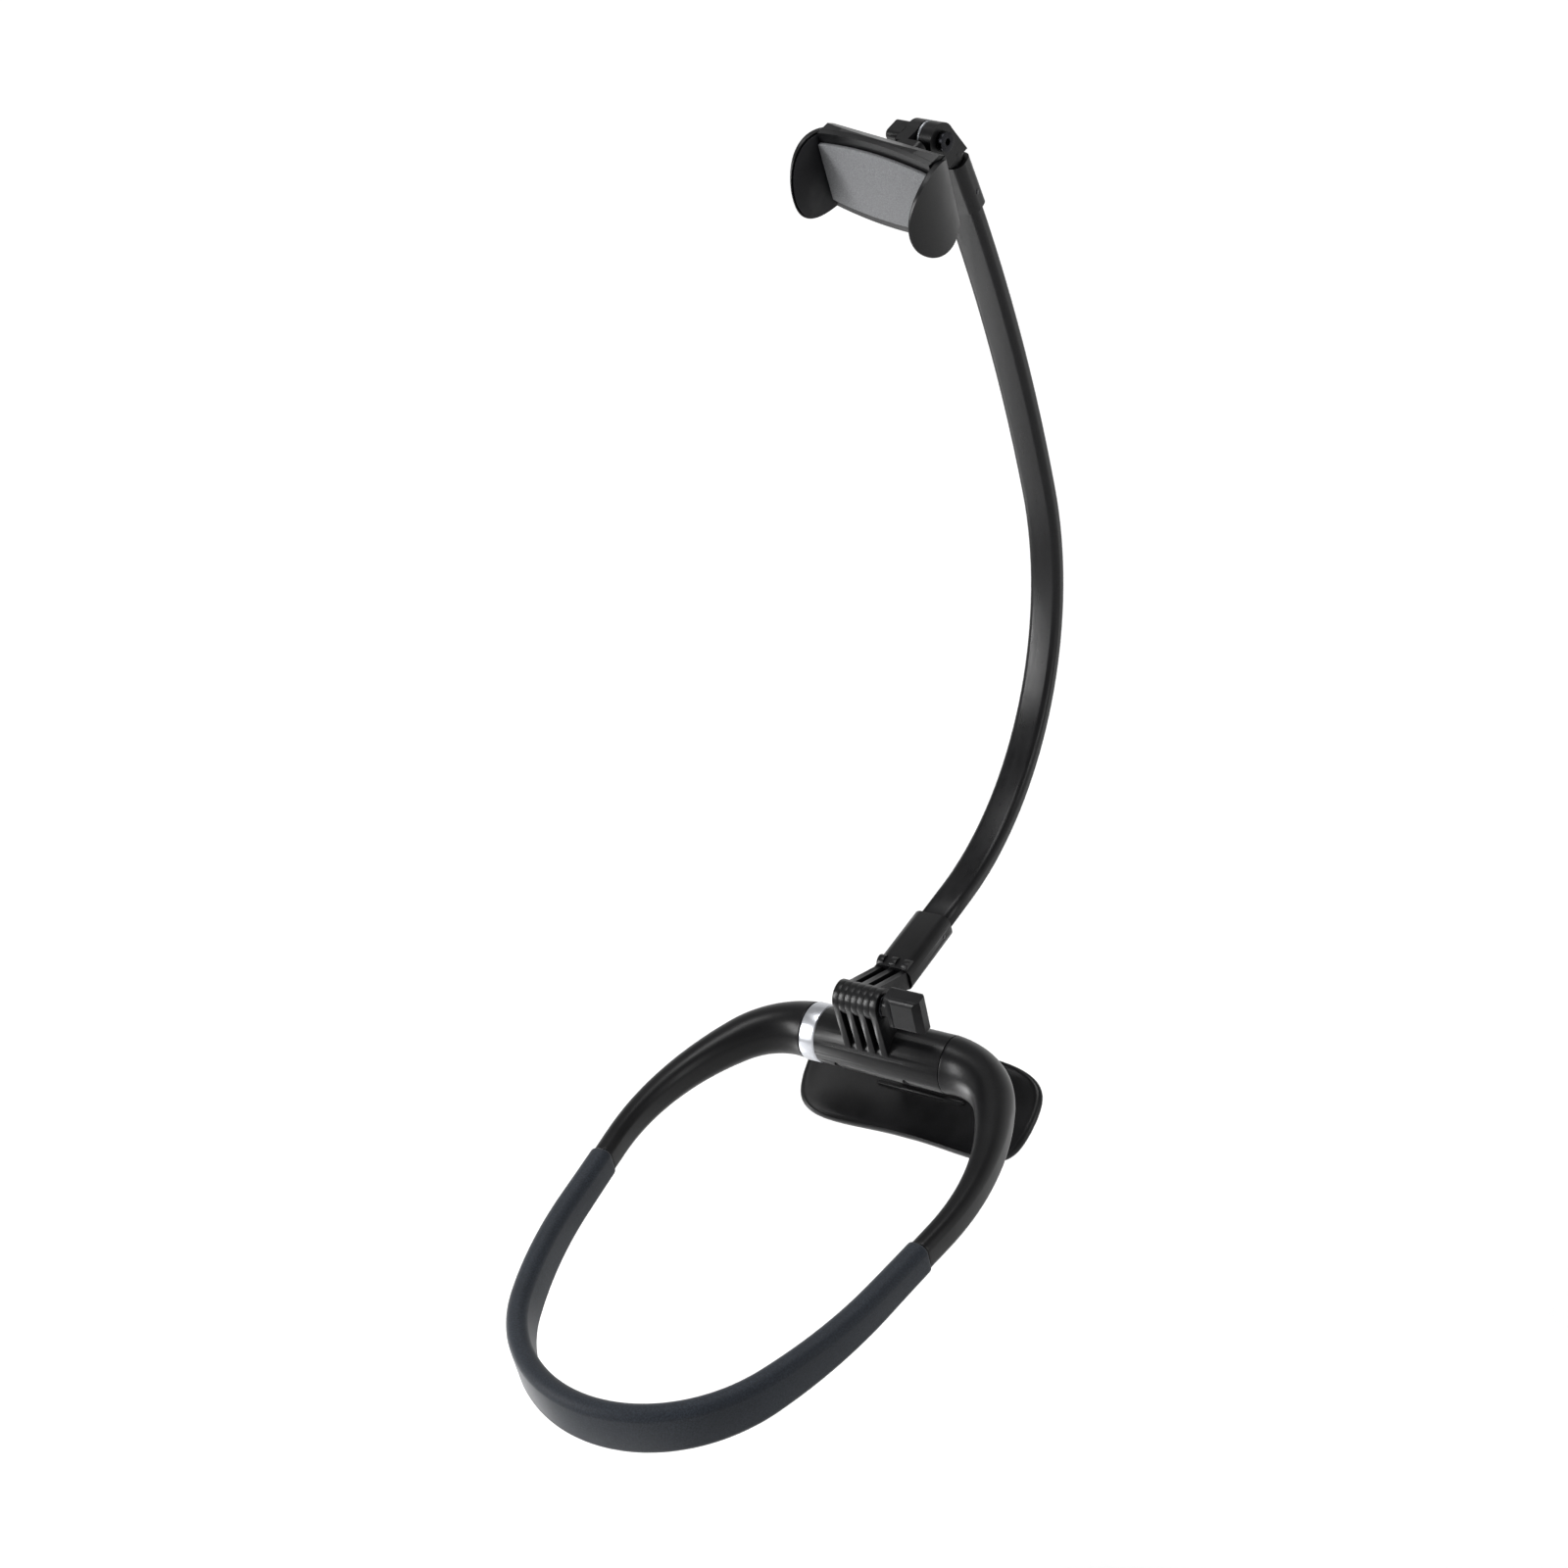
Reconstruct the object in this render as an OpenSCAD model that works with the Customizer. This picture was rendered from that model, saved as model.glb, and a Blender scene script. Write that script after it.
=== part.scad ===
// Neck phone holder: a padded neck loop, a hub that turns on it with a chest plate,
// a bent arm on a fingered hinge, and a sprung phone clamp on a serrated knuckle.
// X is the wearer's right, Y points forward from the neck and Z points up.
// The origin is the middle of the neck pad's inner face.

/* [Neck loop] */
// Radius of the front corners
front_r = 29; // [26:1:33]
// Turn of each front corner in degrees
front_turn = 59; // [56:1:62]
// Radius of the shoulder curves
shoulder_r = 100; // [90:5:115]
// Turn of each shoulder curve in degrees
shoulder_turn = 39; // [36:1:42]
// Length of the straight sides
side_l = 33; // [27:1:40]
// Radius of the flank curves beside the neck
flank_r = 175; // [160:5:190]
// Turn of each flank curve in degrees
flank_turn = 16; // [14:1:18]
// Diameter of the round front of the loop and of the hub
front_d = 22; // [20:0.5:24]
// Height of the loop arms where the neck pad starts
arm_end_h = 11.6; // [11:0.2:13]
// Thickness of the loop arms where the neck pad starts
arm_end_t = 7.6; // [7:0.2:9]
// Height of the neck pad at its ends
pad_end_h = 12.6; // [12:0.2:14]
// Thickness of the neck pad at its ends
pad_end_t = 8.6; // [8:0.2:10]
// Height of the neck pad behind the neck
pad_h = 19.5; // [17:0.5:23]
// Thickness of the neck pad behind the neck
pad_t = 7; // [6:0.5:9]
// Thickness of the spring strip inside the loop
strip_t = 2; // [1.5:0.1:2.4]
// Height of the spring strip inside the loop
strip_h = 8; // [6:0.5:8.5]

/* [Hub] */
// Length of the hub
hub_l = 53.8; // [50:0.2:56]
// Width of the silver ring
ring_w = 7; // [5:0.5:8]
// How far the ring stands out from the hub
ring_step = 0.25; // [0.1:0.05:0.5]
// Diameter of the shaft that the hub turns on
shaft_d = 9; // [8:0.5:10]
// How far the shaft runs into each loop arm
shaft_grip = 8; // [6:0.5:9]
// Diameter of the bore inside the hub
hub_bore_d = 14; // [13:0.5:14.5]
// Length of each friction bush
bush_l = 6; // [4:0.5:8]

/* [Chest plate] */
// Width of the chest plate
plate_w = 103; // [93:1:111]
// Depth of the chest plate
plate_d = 45; // [41:1:50]
// Thickness of the chest plate's web
plate_t = 2.6; // [2:0.2:3.4]
// Thickness of the chest plate's rolled rim
plate_rim_t = 4; // [3.6:0.2:5]
// Rise of the plate's ends above its middle
plate_end_rise = 4.4; // [3:0.2:6]
// Rise of the plate's front lip
plate_lip_rise = 3; // [2:0.2:4]
// How far the middle of the plate's rear edge curves forward
plate_notch = 6.5; // [3:0.5:8]
// Lean of the plate from level in degrees
plate_lean = 24.5; // [20:0.5:28]
// Distance of the plate's middle in front of the hub axis
plate_y = 16.2; // [14.2:0.2:18]
// Distance of the plate's middle below the hub axis
plate_drop = 40.3; // [38:0.1:43]
// Width of the stem between the hub and the plate
stem_w = 24; // [20:1:28]
// Thickness of the stem
stem_t = 9; // [8:0.5:10]

/* [Fingered hinge] */
// Distance of the hinge barrel behind the hub axis
barrel_back = 5; // [3:0.5:6]
// Height of the hinge barrel above the hub axis
barrel_up = 26.8; // [26:0.2:30]
// Diameter of the hinge barrel
barrel_d = 12.4; // [11.6:0.2:13]
// Number of fins on the hub
hub_fins = 4; // [3:1:4]
// Thickness of each fin
fin_t = 2.6; // [2.2:0.1:2.7]
// Side clearance between neighbouring fins
fin_play = 0.08; // [0.05:0.01:0.1]
// Diameter of the hinge bolt
bolt_d = 4; // [3.5:0.1:4.5]
// Radial clearance of every turning fit
run_play = 0.05; // [0.03:0.01:0.08]
// Width across the flats of the hinge nut
nut_af = 7; // [7:0.1:7.6]
// Height of the thumb knob's wing
wing_h = 14.5; // [13:0.5:16]
// Thickness of the thumb knob's wing
wing_t = 8.4; // [8:0.2:9.4]
// Length of the thumb knob's wing along the bolt
wing_l = 14.4; // [12:0.2:16]

/* [Arm] */
// Width of the arm across the wearer
arm_w = 13; // [12:0.5:13.5]
// Thickness of the arm in the plane of its bend
arm_t = 7; // [6.5:0.25:7.5]
// Corner radius of the arm's section
arm_corner = 2.6; // [2:0.1:3]
// Length of the arm's straight start
arm_straight = 31; // [28:1:36]
// Radius of the arm's main bend
bend_r = 113; // [106:1:120]
// Turn of the arm's main bend in degrees
bend_turn = 90; // [84:1:94]
// Radius of the arm's long upper curve
top_r = 560; // [500:10:640]
// Turn of the arm's long upper curve in degrees
top_turn = 14.4; // [12:0.2:16]
// Width of the lower socket
socket_w = 15.8; // [15.6:0.2:17]
// Thickness of the lower socket
socket_t = 10.4; // [10:0.2:11]
// Length of the lower socket over the arm
socket_grip = 12; // [10:1:16]
// Width of the upper socket
tip_w = 15.4; // [15.2:0.2:16.4]
// Thickness of the upper socket
tip_t = 9.6; // [9.2:0.2:10]
// Length of the upper socket over the arm
tip_grip = 13; // [10:1:16]

/* [Knuckle] */
// Turn of the swivel on the arm's end at rest in degrees
clamp_pan = -11.6; // [-20:0.2:20]
// Tilt of the clamp at rest in degrees
clamp_tilt = -2.4; // [-10:0.2:10]
// Roll of the clamp at rest in degrees
clamp_roll = 6.4; // [-20:0.2:20]
// Height of the knuckle above the arm's end
knuckle_up = 20; // [19.5:0.25:22]
// Distance of the knuckle behind the arm's end
knuckle_back = 4.6; // [4:0.2:6]
// Diameter of the knuckle's ears
ear_d = 12.6; // [12:0.2:13]
// Thickness of each ear
ear_t = 5.2; // [4.6:0.2:5.6]
// Height of the ears' radial teeth
tooth_h = 0.55; // [0.4:0.05:0.6]
// Number of radial teeth on each ear
teeth = 14; // [10:1:16]
// Distance from the knuckle to the face of the grip pad
pad_reach = 28.9; // [28.6:0.1:31]

/* [Phone clamp] */
// Width between the jaws when the clamp is shut
jaw_gap = 49; // [47:0.5:54]
// Height of the grip pad
grip_h = 28.4; // [26:0.2:30]
// Thickness of the grip pad
grip_t = 1.5; // [1:0.1:2]
// Height of the clamp's housing at its middle
case_h = 36; // [34:0.5:38]
// How much lower the housing is at its ends
case_bulge = 2.4; // [1.4:0.1:3]
// Height of the clamp's housing at its back
case_rear_h = 27.2; // [27:0.2:30]
// Depth of the jaws in front of the grip pad
jaw_depth = 16.2; // [15:0.2:18]
// Outward bulge of each jaw
jaw_bulge = 3.4; // [3.2:0.1:5]
// Diameter of the jaws' round outlines
jaw_d = 32.2; // [31:0.2:34]
// Inward hollow of each jaw's face
jaw_hollow = 1.2; // [1:0.1:1.6]
// How far the jaws' outlines sit below the housing's middle
jaw_drop = 0.7; // [0:0.1:2]
// Travel of the sliding jaw
jaw_travel = 32; // [20:1:33]
// Thickness of the rubber liners in the jaws
liner_t = 0.8; // [0.6:0.1:1]

/* [Hidden] */

// Overrun of every cut past the face that it opens
over = 1;
// Clearance of every still fit
fit_play = 0.15;
// Gap between glued faces
glue_gap = 0.05;
// Gap between the hub and its neighbours along the shaft
end_gap = 0.1;
// Half length of the straight run through the hub and the ring
loop_straight = (hub_l + ring_w) / 2 + end_gap;

// A route is a list of runs, each a length with no turn or a radius with its turn, left being positive.
function run_length(run) = run[1] == 0 ? run[0] : run[0] * abs(run[1]) * PI / 180;

function run_pose(pose, run, s) = run[1] == 0
    ? [pose[0] + s * cos(pose[2]), pose[1] + s * sin(pose[2]), pose[2]]
    : let (side = sign(run[1]), h = pose[2] + side * s / run[0] * 180 / PI)
      [pose[0] + side * run[0] * (sin(h) - sin(pose[2])),
       pose[1] - side * run[0] * (cos(h) - cos(pose[2])), h];

function along(runs, s, pose = [0, 0, 0], i = 0) =
    let (l = run_length(runs[i]))
    i == len(runs) - 1 || s <= l
        ? run_pose(pose, runs[i], s)
        : along(runs, s - l, run_pose(pose, runs[i], l), i + 1);

function sum_lengths(runs, i = 0) = i == len(runs) ? 0 : run_length(runs[i]) + sum_lengths(runs, i + 1);

// Loop route from the hub's middle to the middle of the neck, with its last radius closing on X = 0.
rear_turn = 180 - front_turn - shoulder_turn - flank_turn;
open_runs = [
    [loop_straight, 0], [front_r, -front_turn], [shoulder_r, -shoulder_turn],
    [side_l, 0], [flank_r, -flank_turn]
];
flank_end = along(open_runs, sum_lengths(open_runs));
rear_r = flank_end[0] / sin(rear_turn);
loop_runs = concat(open_runs, [[rear_r, -rear_turn]]);
loop_half = sum_lengths(loop_runs);
hub_y = -along(loop_runs, loop_half)[1] - pad_t / 2;

// The neck pad starts at this share of the straight side.
pad_start_share = 0.3;
pad_start = sum_lengths([for (i = [0 : 2]) open_runs[i]]) + side_l * pad_start_share;

function loop_pose(s) = s <= loop_half
    ? along(loop_runs, s)
    : let (p = along(loop_runs, 2 * loop_half - s)) [-p[0], p[1], -p[2]];

// Points of a rounded rectangle, with each corner's points half a step inside its quadrant.
function rounded_points(w, h, r, n) = [
    for (q = [0 : 3]) for (j = [0 : n - 1])
        let (a = 90 * q + 90 / n * (j + 0.5), sx = q == 0 || q == 3 ? 1 : -1, sy = q < 2 ? 1 : -1)
        [sx * (w / 2 - r) + r * cos(a), sy * (h / 2 - r) + r * sin(a)]
];

function ring_at(pose, points) = [
    for (q = points) [pose[0] - q[0] * sin(pose[2]), pose[1] + q[0] * cos(pose[2]), q[1]]
];

function mix(a, b, u) = a + (b - a) * u;

// Faces of a skin of n rings with m points each, whose points start at index first.
function skin_faces(n, m, first, flip) = [
    for (i = [0 : n - 2]) for (j = [0 : m - 1])
        let (a = first + i * m + j, b = first + i * m + (j + 1) % m)
        each flip ? [[a, b, b + m], [a, b + m, a + m]] : [[a, b + m, b], [a, a + m, b + m]]
];

// Faces of the flat end between an outer ring and an inner ring with a third of its points.
function end_faces(outer, inner, m, flip) = [
    for (k = [0 : m - 1])
        let (near = [for (c = [0 : 3]) outer + (3 * k + c - 1 + 3 * m) % (3 * m)],
             fan = [for (c = [0 : 2]) [near[c], near[c + 1], inner + k]],
             last = [near[3], inner + (k + 1) % m, inner + k])
        for (t = concat(fan, [last])) flip ? [t[2], t[1], t[0]] : t
];

module solid_loft(rings) {
    n = len(rings);
    m = len(rings[0]);
    polyhedron(
        points = [for (r = rings) each r],
        faces = concat(
            skin_faces(n, m, 0, false),
            [[for (j = [0 : m - 1]) j]],
            [[for (j = [0 : m - 1]) n * m - 1 - j]]),
        convexity = 8);
}

module hollow_loft(outer, inner) {
    n = len(outer);
    m = len(inner[0]);
    first = n * 3 * m;
    polyhedron(
        points = concat([for (r = outer) each r], [for (r = inner) each r]),
        faces = concat(
            skin_faces(n, 3 * m, 0, false),
            skin_faces(n, m, first, true),
            end_faces(0, first, m, false),
            end_faces((n - 1) * 3 * m, first + (n - 1) * m, m, true)),
        convexity = 8);
}

// Shared placing modules.
module at_hub() { translate([0, hub_y, 0]) children(); }

module along_x(l, x = 0) { translate([x, 0, 0]) rotate([90, 0, 90]) linear_extrude(l) children(); }

module rod_x(d, x0, x1, fn = 64) {
    translate([x0, 0, 0]) rotate([0, 90, 0]) cylinder(d = d, h = x1 - x0, $fn = fn);
}

module rod_y(d, y0, y1, fn = 64) {
    translate([0, y0, 0]) rotate([-90, 0, 0]) cylinder(d = d, h = y1 - y0, $fn = fn);
}

module rounded_square(size, r) {
    hw = size[0] / 2 - r;
    hh = size[1] / 2 - r;
    square([size[0] - 2 * r, size[1]], center = true);
    square([size[0], size[1] - 2 * r], center = true);
    for (x = [-hw, hw]) for (y = [-hh, hh]) translate([x, y]) circle(r = r, $fn = 48);
}

// Where the line from p touches the circle of radius r round c, drawn a little inside the circle.
touch_share = 0.985;
function touch_point(c, r, p, side) =
    let (d = norm(p - c), a = atan2(p[1] - c[1], p[0] - c[0]), b = acos(r * touch_share / d))
    c + r * touch_share * [cos(a + side * b), sin(a + side * b)];

// A link outline: a round eye whose sides run straight to the two foot points.
module link_outline(c, r, foot_a, foot_b) {
    translate(c) circle(r = r, $fn = 96);
    polygon([foot_a, touch_point(c, r, foot_a, 1), touch_point(c, r, foot_b, -1), foot_b]);
}

// Neck loop
channel_t = strip_t + 2 * fit_play;
channel_h = strip_h + 2 * fit_play;
channel_corner = strip_t / 3;
loop_points = 6;
channel_points = 2;
arm_rings = 26;
pad_rings = 36;
loop_edge_r = 3.4;
bore_end = loop_straight + shaft_grip + fit_play;
strip_start = bore_end + over;

module loop_arm(start) {
    difference() {
        hollow_loft(
            [for (i = [0 : arm_rings]) let (u = i / arm_rings, v = u * (2 - u))
                ring_at(loop_pose(mix(start, pad_start, u)),
                    rounded_points(mix(front_d, arm_end_t, v), mix(front_d, arm_end_h, v),
                        mix(front_d / 2, loop_edge_r, v), loop_points))],
            [for (i = [0 : arm_rings]) let (u = i / arm_rings)
                ring_at(loop_pose(mix(start, pad_start, u)),
                    rounded_points(channel_t, channel_h, channel_corner, channel_points))]);
        rod_x(shaft_d + 2 * run_play, 0, bore_end);
    }
}

module right_loop_arm() { color("#1c1c1f") at_hub() loop_arm(loop_straight); }

module left_loop_arm() { color("#1c1c1f") at_hub() mirror([1, 0, 0]) loop_arm(loop_straight); }

// How far the pad has grown from its ends to its middle, with a flat start and a full middle.
pad_fullness = 1.5;
function pad_share(u) = pow(sin(180 * u), 2) * mix(pad_fullness, 1, sin(180 * u));

module neck_pad() {
    color("#39414c") at_hub()
        hollow_loft(
            [for (i = [0 : pad_rings]) let (u = i / pad_rings, v = pad_share(u))
                ring_at(loop_pose(mix(pad_start, 2 * loop_half - pad_start, u)),
                    rounded_points(mix(pad_end_t, pad_t, v), mix(pad_end_h, pad_h, v),
                        loop_edge_r, loop_points))],
            [for (i = [0 : pad_rings]) let (u = i / pad_rings)
                ring_at(loop_pose(mix(pad_start, 2 * loop_half - pad_start, u)),
                    rounded_points(channel_t, channel_h, channel_corner, channel_points))]);
}

strip_rings = 60;
module loop_spring_strip() {
    color("#9aa0a6") at_hub()
        solid_loft([for (i = [0 : strip_rings])
            ring_at(loop_pose(mix(strip_start, 2 * loop_half - strip_start, i / strip_rings)),
                rounded_points(strip_t, strip_h, channel_corner, channel_points))]);
}

ring_bevel = 0.6;
module ring_collar() {
    ring_r = front_d / 2 + ring_step;
    color("#d8dade") at_hub() translate([ring_w - loop_straight, 0, 0]) rotate([0, -90, 0]) difference() {
        rotate_extrude($fn = 96) polygon([
            [0, 0], [ring_r - ring_bevel, 0], [ring_r, ring_bevel],
            [ring_r, ring_w - ring_bevel], [ring_r - ring_bevel, ring_w], [0, ring_w]]);
        translate([0, 0, -over]) cylinder(d = shaft_d + 2 * run_play, h = ring_w + 2 * over, $fn = 64);
    }
}

shaft_wall = 2;
module hub_shaft() {
    shaft_half = loop_straight + shaft_grip;
    color("#8d9196") at_hub() difference() {
        rod_x(shaft_d, -shaft_half, shaft_half);
        rod_x(shaft_d - 2 * shaft_wall, -shaft_half - over, shaft_half + over);
    }
}

// Hub, between the ring and the right loop arm
hub_left = ring_w + end_gap - loop_straight;
hub_right = hub_left + hub_l;
barrel = [-barrel_back, barrel_up];
fin_pitch = fin_t + fin_play;
barrel_l = (2 * hub_fins - 1) * fin_t + (2 * hub_fins - 2) * fin_play;
fin_foot_rear_share = 0.87;
fin_foot_front_share = 0.1;
fin_sink_share = 0.86;
hub_r = front_d / 2;
nut_sink = 1.6;
hub_screw_d = 2;
hub_screw_head_d = 2.8;
hub_screw_head_l = 1;
hub_screw_x_share = 0.64;
hub_screw_x = -hub_left * hub_screw_x_share;
hub_screw_y = (hub_bore_d / 2 + hub_r) / 2;
hub_screw_top = 4.5;
hub_screw_seat = -2.2;

module half_ring(up) {
    difference() {
        circle(d = front_d, $fn = 128);
        circle(d = hub_bore_d + 2 * glue_gap, $fn = 96);
        translate([-front_d, up ? -2 * front_d : 0]) square(2 * front_d);
    }
}

module fin(i, foot_rear, foot_front) {
    along_x(fin_t, -barrel_l / 2 + i * fin_pitch) link_outline(barrel, barrel_d / 2, foot_front, foot_rear);
}

module at_hub_screws() {
    for (x = [-hub_screw_x, hub_screw_x])
        for (y = [-hub_screw_y, hub_screw_y]) translate([x, y, 0]) children();
}

module hub_upper_shell() {
    foot_rear_z = hub_r * sqrt(1 - pow(fin_foot_rear_share, 2)) * fin_sink_share;
    foot_rear = [-hub_r * fin_foot_rear_share, foot_rear_z];
    foot_front = [-hub_r * fin_foot_front_share, hub_r * fin_sink_share];
    color("#1a1a1c") at_hub() difference() {
        union() {
            along_x(hub_l, hub_left) half_ring(true);
            for (i = [0 : hub_fins - 1]) fin(2 * i, foot_rear, foot_front);
        }
        translate([0, barrel[0], barrel[1]]) {
            rod_x(bolt_d + 2 * run_play, -barrel_l, barrel_l);
            rod_x((nut_af + 2 * glue_gap) / cos(30), -barrel_l / 2 - over, -barrel_l / 2 + nut_sink, 6);
        }
        at_hub_screws() translate([0, 0, -over])
            cylinder(d = hub_screw_d + 2 * glue_gap, h = hub_screw_top + over, $fn = 32);
    }
}

// The stem leaves the hub toward the front of the plate.
stem_angle = -52;
boss_h = 2;
boss_edge = 1;
boss_w = stem_w + 2 * boss_edge;
stem_screw_d = 3;
stem_screw_x = stem_w / 4;
stem_screw_head_d = 5.4;
stem_screw_head_l = 1.8;
stem_screw_l = 16;

module at_stem() { rotate([stem_angle - 90, 0, 0]) children(); }

module hub_lower_shell() {
    color("#1a1a1c") at_hub() difference() {
        union() {
            along_x(hub_l, hub_left) half_ring(false);
            at_stem() translate([0, 0, hub_bore_d / 2 + over])
                linear_extrude(boss_h + hub_r - hub_bore_d / 2 - over)
                    rounded_square([boss_w, stem_t], stem_t / 4);
        }
        at_stem() for (x = [-stem_screw_x, stem_screw_x]) translate([x, 0, 0]) {
            cylinder(d = stem_screw_d + 2 * glue_gap, h = 2 * hub_r, $fn = 32);
            cylinder(d = stem_screw_head_d + 2 * fit_play, h = hub_bore_d / 2, $fn = 48);
        }
        at_hub_screws() translate([0, 0, -hub_r]) {
            cylinder(d = hub_screw_d + 2 * glue_gap, h = hub_r + over, $fn = 32);
            cylinder(d = hub_screw_head_d + 2 * fit_play, h = hub_r + hub_screw_seat, $fn = 32);
        }
    }
}

module hub_screws() {
    color("#b9bcc1") at_hub() at_hub_screws() {
        translate([0, 0, hub_screw_seat - hub_screw_head_l])
            cylinder(d = hub_screw_head_d, h = hub_screw_head_l, $fn = 32);
        translate([0, 0, hub_screw_seat])
            cylinder(d = hub_screw_d, h = hub_screw_top - hub_screw_seat - fit_play, $fn = 32);
    }
}

module friction_bushes() {
    color("#e6e4dc") at_hub() for (x = [hub_left, hub_right - bush_l]) difference() {
        rod_x(hub_bore_d, x, x + bush_l);
        rod_x(shaft_d + 2 * run_play, -hub_l, hub_l);
    }
}

// Chest plate: rings of a rounded outline on a saddle surface, from the middle below to the middle above.
plate_sides = 48;
plate_corner_power = 3.8;
plate_taper_share = 0.07;
plate_ring_shares = [
    [0, -0.5, 0], [0.45, -0.5, 0], [0.82, -0.5, 0], [0.93, -0.5, 0.6], [0.98, -0.5, 1], [1, -0.2, 1],
    [1, 0.2, 1], [0.98, 0.5, 1], [0.93, 0.5, 0.6], [0.82, 0.5, 0], [0.45, 0.5, 0], [0, 0.5, 0]
];
function power_sign(v, p) = sign(v) * pow(abs(v), 2 / p);
function plate_rise(x, y) =
    plate_end_rise * pow(2 * x / plate_w, 2) + plate_lip_rise * pow(max(0, 2 * y / plate_d), 3);
function plate_point(share, a) =
    let (r = share[0],
         px = power_sign(cos(a), plate_corner_power),
         py = power_sign(sin(a), plate_corner_power),
         x = r * plate_w / 2 * px * (1 - plate_taper_share * max(0, -py)),
         y = r * (plate_d / 2 * py + plate_notch * max(0, -py) * (1 - px * px)))
    [x, y, plate_rise(x, y) + share[1] * mix(plate_t, plate_rim_t, share[2])];

module dish() {
    n = len(plate_ring_shares) - 2;
    rings = [for (k = [1 : n]) for (j = [0 : plate_sides - 1])
        plate_point(plate_ring_shares[k], 360 / plate_sides * (j + 0.5))];
    low = n * plate_sides;
    high = low + 1;
    polyhedron(
        points = concat(rings, [for (k = [0, n + 1]) plate_point(plate_ring_shares[k], 0)]),
        faces = concat(
            skin_faces(n, plate_sides, 0, false),
            [for (j = [0 : plate_sides - 1]) [low, j, (j + 1) % plate_sides]],
            [for (j = [0 : plate_sides - 1])
                [high, (n - 1) * plate_sides + (j + 1) % plate_sides, (n - 1) * plate_sides + j]]),
        convexity = 6);
}

module at_plate() { translate([0, plate_y, -plate_drop]) rotate([plate_lean, 0, 0]) children(); }

stem_l = plate_drop - hub_r / 2;
rib_w = 39;
rib_y = 2.2;
rib_t = 1.6;
rib_h = 2.6;
module chest_plate() {
    color("#1d1d20") at_hub() difference() {
        union() {
            at_plate() dish();
            intersection() {
                at_stem() translate([0, 0, hub_r + boss_h]) linear_extrude(stem_l)
                    rounded_square([stem_w, stem_t], stem_t / 4);
                at_plate() translate([-plate_w / 2, -plate_d / 2, 0]) cube([plate_w, plate_d, plate_drop]);
            }
            at_plate() translate([0, rib_y, 0]) linear_extrude(rib_h)
                rounded_square([rib_w, rib_t], rib_t / 4);
        }
        at_stem() for (x = [-stem_screw_x, stem_screw_x]) translate([x, 0, hub_bore_d / 2])
            cylinder(d = stem_screw_d + 2 * glue_gap, h = stem_screw_l + fit_play, $fn = 32);
    }
}

module chest_plate_screws() {
    color("#b9bcc1") at_hub() at_stem() for (x = [-stem_screw_x, stem_screw_x]) translate([x, 0, 0]) {
        translate([0, 0, hub_bore_d / 2]) cylinder(d = stem_screw_d, h = stem_screw_l, $fn = 32);
        translate([0, 0, hub_bore_d / 2 - stem_screw_head_l])
            cylinder(d = stem_screw_head_d, h = stem_screw_head_l, $fn = 32);
    }
}

// Hinge hardware
washer_t = 0.8;
washer_d = 9;
nut_h = 2.2;
collar_d = 8;
collar_l = 2;
bolt_grip_share = 0.7;
knob_x = barrel_l / 2 + end_gap + washer_t;
wing_corner = 2.2;
wing_bevel = 2.4;
scoop_r = 4.5;
scoop_depth = 1.1;

module at_barrel() { at_hub() translate([0, barrel[0], barrel[1]]) children(); }

module hinge_nut() {
    nut_end = nut_sink - glue_gap - barrel_l / 2;
    color("#b9bcc1") at_barrel() difference() {
        rod_x(nut_af / cos(30), nut_end - nut_h, nut_end, 6);
        rod_x(bolt_d + 2 * run_play, -barrel_l, 0);
    }
}

module hinge_bolt() {
    color("#a9adb2") at_barrel()
        rod_x(bolt_d, -barrel_l / 2 + nut_sink - nut_h, knob_x + collar_l + wing_l * bolt_grip_share);
}

module hinge_washer() {
    color("#c4c7cb") at_barrel() difference() {
        rod_x(washer_d, barrel_l / 2 + end_gap, knob_x - glue_gap);
        rod_x(bolt_d + 2 * run_play, 0, barrel_l);
    }
}

module hinge_thumb_knob() {
    color("#202023") at_barrel() difference() {
        union() {
            rod_x(collar_d, knob_x, knob_x + collar_l + over);
            intersection() {
                along_x(wing_l, knob_x + collar_l) rounded_square([wing_t, wing_h], wing_corner);
                translate([knob_x + collar_l, 0, -wing_h]) linear_extrude(2 * wing_h) polygon([
                    [0, -wing_t / 2], [wing_l - wing_bevel, -wing_t / 2], [wing_l, wing_bevel - wing_t / 2],
                    [wing_l, wing_t / 2 - wing_bevel], [wing_l - wing_bevel, wing_t / 2], [0, wing_t / 2]]);
            }
        }
        rod_x(bolt_d + 2 * glue_gap, 0, knob_x + collar_l + wing_l * bolt_grip_share + glue_gap);
        for (side = [-1, 1])
            translate([knob_x + collar_l, side * (wing_t / 2 + scoop_r - scoop_depth), -wing_h])
                cylinder(r = scoop_r, h = 2 * wing_h, $fn = 64);
    }
}

// Arm
arm_start_y = 36;
arm_start_z = 22.5;
arm_start_lean = 3;
arm_start = [hub_y + arm_start_y, arm_start_z, arm_start_lean];
arm_runs = [[arm_straight, 0], [bend_r, bend_turn], [top_r, top_turn]];
arm_l = sum_lengths(arm_runs);
arm_tip = along(arm_runs, arm_l, arm_start);
memory_w = 8;
memory_t = 2.4;
memory_short = 3;

// Moves along the plane of the bend to a pose, with the local Z axis along the route.
module at_pose(pose) { translate([0, pose[0], pose[1]]) rotate([pose[2] - 90, 0, 0]) children(); }

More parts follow.
